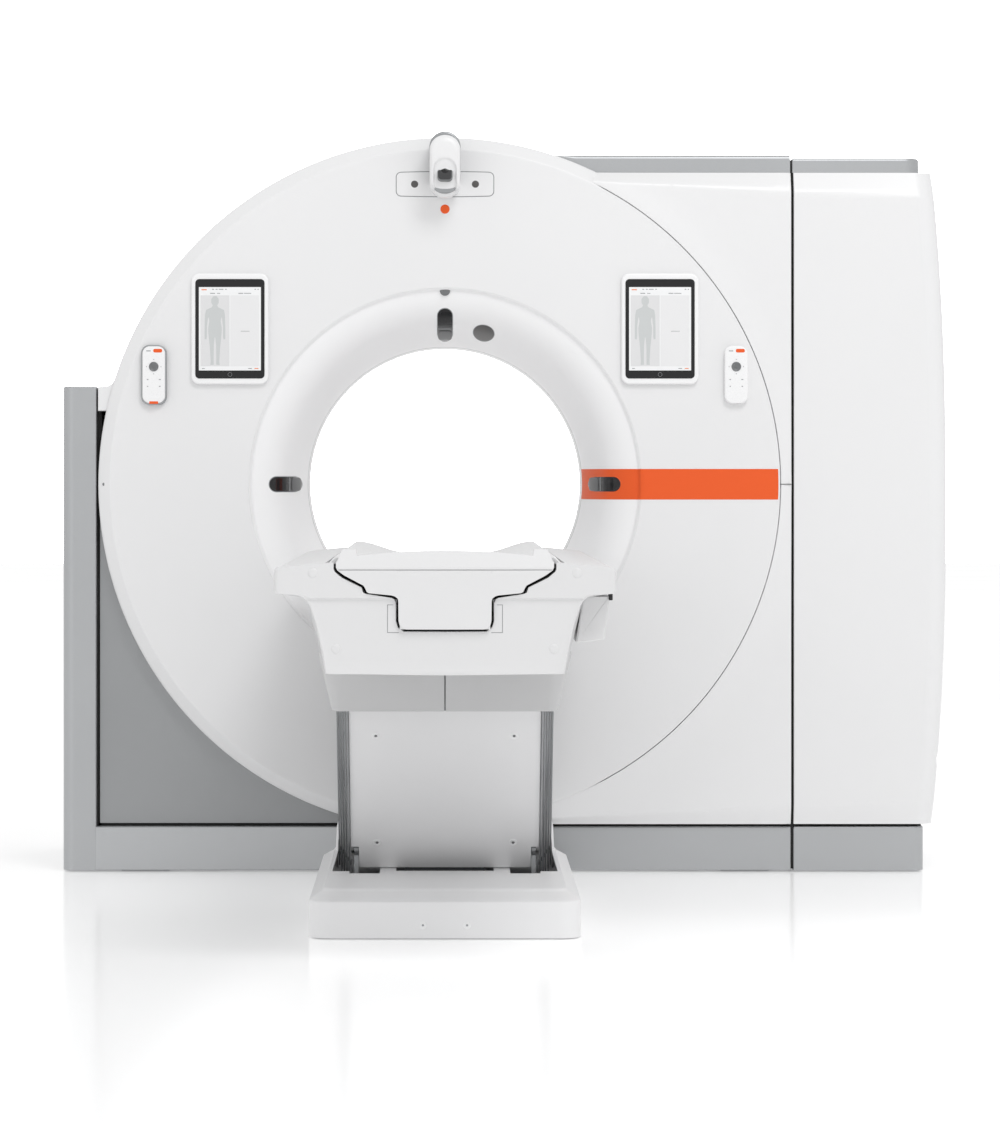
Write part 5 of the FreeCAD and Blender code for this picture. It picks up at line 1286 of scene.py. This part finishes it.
class FinishFrame(Maker):
    """Finishes of the frame's own parts that stay in view."""

    bl_idname = "ct.frame_finishes"
    bl_label = "Frame finishes"

    def make(self, gantry, table):
        for name, nodes in FRAME_FINISHES.items():
            for node in nodes:
                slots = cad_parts[node].data.materials
                slots.clear()
                slots.append(finish(name))


def lamp(name, place, aim, power, wide, high):
    """A soft rectangular lamp aimed at a point."""
    data = bpy.data.lights.new(name, "AREA")
    data.shape, data.size, data.size_y, data.energy = "RECTANGLE", wide, high, power
    obj = bpy.data.objects.new(name, data)
    obj.location = place
    obj.rotation_mode = "QUATERNION"
    obj.rotation_quaternion = (Vector(aim) - Vector(place)).to_track_quat("-Z", "Y")
    bpy.context.scene.collection.objects.link(obj)


class BuildStage(bpy.types.Operator):
    """Pale floor, soft studio light and the camera in front of the table."""

    bl_idname = "ct.stage"
    bl_label = "Studio"
    bl_options = {"REGISTER", "UNDO"}

    def execute(self, context):
        studio = context.scene.ct_studio
        half = FLOOR_WIDTH / 2
        corners = [(-half, -half, 0), (half, -half, 0), (half, half, 0), (-half, half, 0)]
        mesh = bpy.data.meshes.new("studio_floor")
        mesh.from_pydata(corners, [], [(0, 1, 2, 3)])
        floor = bpy.data.objects.new("studio_floor", mesh)
        context.scene.collection.objects.link(floor)
        paint = Finish("studio_floor", Specular_IOR_Level=0.15, Emission_Color=(1, 1, 1, 1),
                       Emission_Strength=0.22)
        haze = paint.noise(0.6, 2)
        paint.feed("Base Color", paint.blend(haze, (0.93, 0.93, 0.93), (0.95, 0.95, 0.95)))
        paint.feed("Roughness", haze * 0.04 + 0.14)
        mesh.materials.append(paint.material)

        world = bpy.data.worlds.new("studio")
        context.scene.world = world
        world.use_nodes = True
        room = world.node_tree.nodes["Background"]
        room.inputs["Color"].default_value = (1, 1, 1, 1)
        room.inputs["Strength"].default_value = studio.sky
        tree = world.node_tree
        path = tree.nodes.new("ShaderNodeLightPath")
        bright = tree.nodes.new("ShaderNodeBackground")
        bright.inputs["Strength"].default_value = BACKDROP
        mix = tree.nodes.new("ShaderNodeMixShader")
        out = tree.nodes["World Output"]
        tree.links.new(path.outputs["Is Camera Ray"], mix.inputs[0])
        tree.links.new(room.outputs[0], mix.inputs[1])
        tree.links.new(bright.outputs[0], mix.inputs[2])
        tree.links.new(mix.outputs[0], out.inputs["Surface"])

        lamp("key_light", (1.8, -5.6, 6.2), (0.1, -0.6, 0.9), studio.key, 2.6, 2.6)
        lamp("fill_light", (-5.5, -7.5, 2.4), (0, -0.6, 0.9), studio.fill, 3, 3)
        lamp("rear_light", (3.0, 6.0, 4.5), (0, 0.4, 0.9), studio.fill * 2, 3, 3)

        camera = bpy.data.cameras.new("camera")
        camera.lens, camera.sensor_width = 139, 36
        camera.shift_x, camera.shift_y = 0.048, -0.082
        camera.clip_end = 200
        obj = bpy.data.objects.new("camera", camera)
        obj.location = (0, -studio.distance, studio.height)
        obj.rotation_euler = (np.pi / 2, 0, 0)
        context.scene.collection.objects.link(obj)
        context.scene.camera = obj
        context.scene.view_settings.view_transform = "Standard"
        return {"FINISHED"}


class MakeFinishes(bpy.types.Operator):
    """Builds every finish from the chosen colours."""

    bl_idname = "ct.finishes"
    bl_label = "Finishes"
    bl_options = {"REGISTER", "UNDO"}

    def execute(self, context):
        FINISHES.update(make_finishes(context.scene.ct_colours))
        return {"FINISHED"}


STEPS = [
    MakeFinishes, BuildFrontCover, BuildMouth, BuildWindows, BuildStripe, BuildSilver, BuildBody,
    BuildSensors, BuildTablets, BuildRemotes, BuildTableSides, BuildTableEnd, BuildCradle, BuildShroud,
    BuildPlate, BuildTableBase, FinishFrame, BuildStage,
]
GROUPS = {
    "ct_gantry": CtGantrySizes, "ct_table": CtTableSizes,
    "ct_colours": CtColours, "ct_studio": CtStudio,
}


class CtPanel(bpy.types.Panel):
    """Lists the steps that build the scanner."""

    bl_idname = "VIEW3D_PT_ct_scanner"
    bl_label = "CT scanner"
    bl_space_type = "VIEW_3D"
    bl_region_type = "UI"
    bl_category = "CT scanner"

    def draw(self, context):
        for step_class in STEPS:
            self.layout.operator(step_class.bl_idname)
        for group in GROUPS:
            settings = getattr(context.scene, group)
            for name in settings.bl_rna.properties.keys():
                if name not in ("rna_type", "name"):
                    self.layout.prop(settings, name)


def register():
    for cls in [*GROUPS.values(), *STEPS, CtPanel]:
        bpy.utils.register_class(cls)
    for name, cls in GROUPS.items():
        setattr(bpy.types.Scene, name, PointerProperty(type=cls))


def unregister():
    for name in GROUPS:
        delattr(bpy.types.Scene, name)
    for cls in reversed([*GROUPS.values(), *STEPS, CtPanel]):
        bpy.utils.unregister_class(cls)


def main():
    register()
    for step_class in STEPS:
        area, name = step_class.bl_idname.split(".")
        getattr(getattr(bpy.ops, area), name)()


if __name__ == "__main__":
    main()
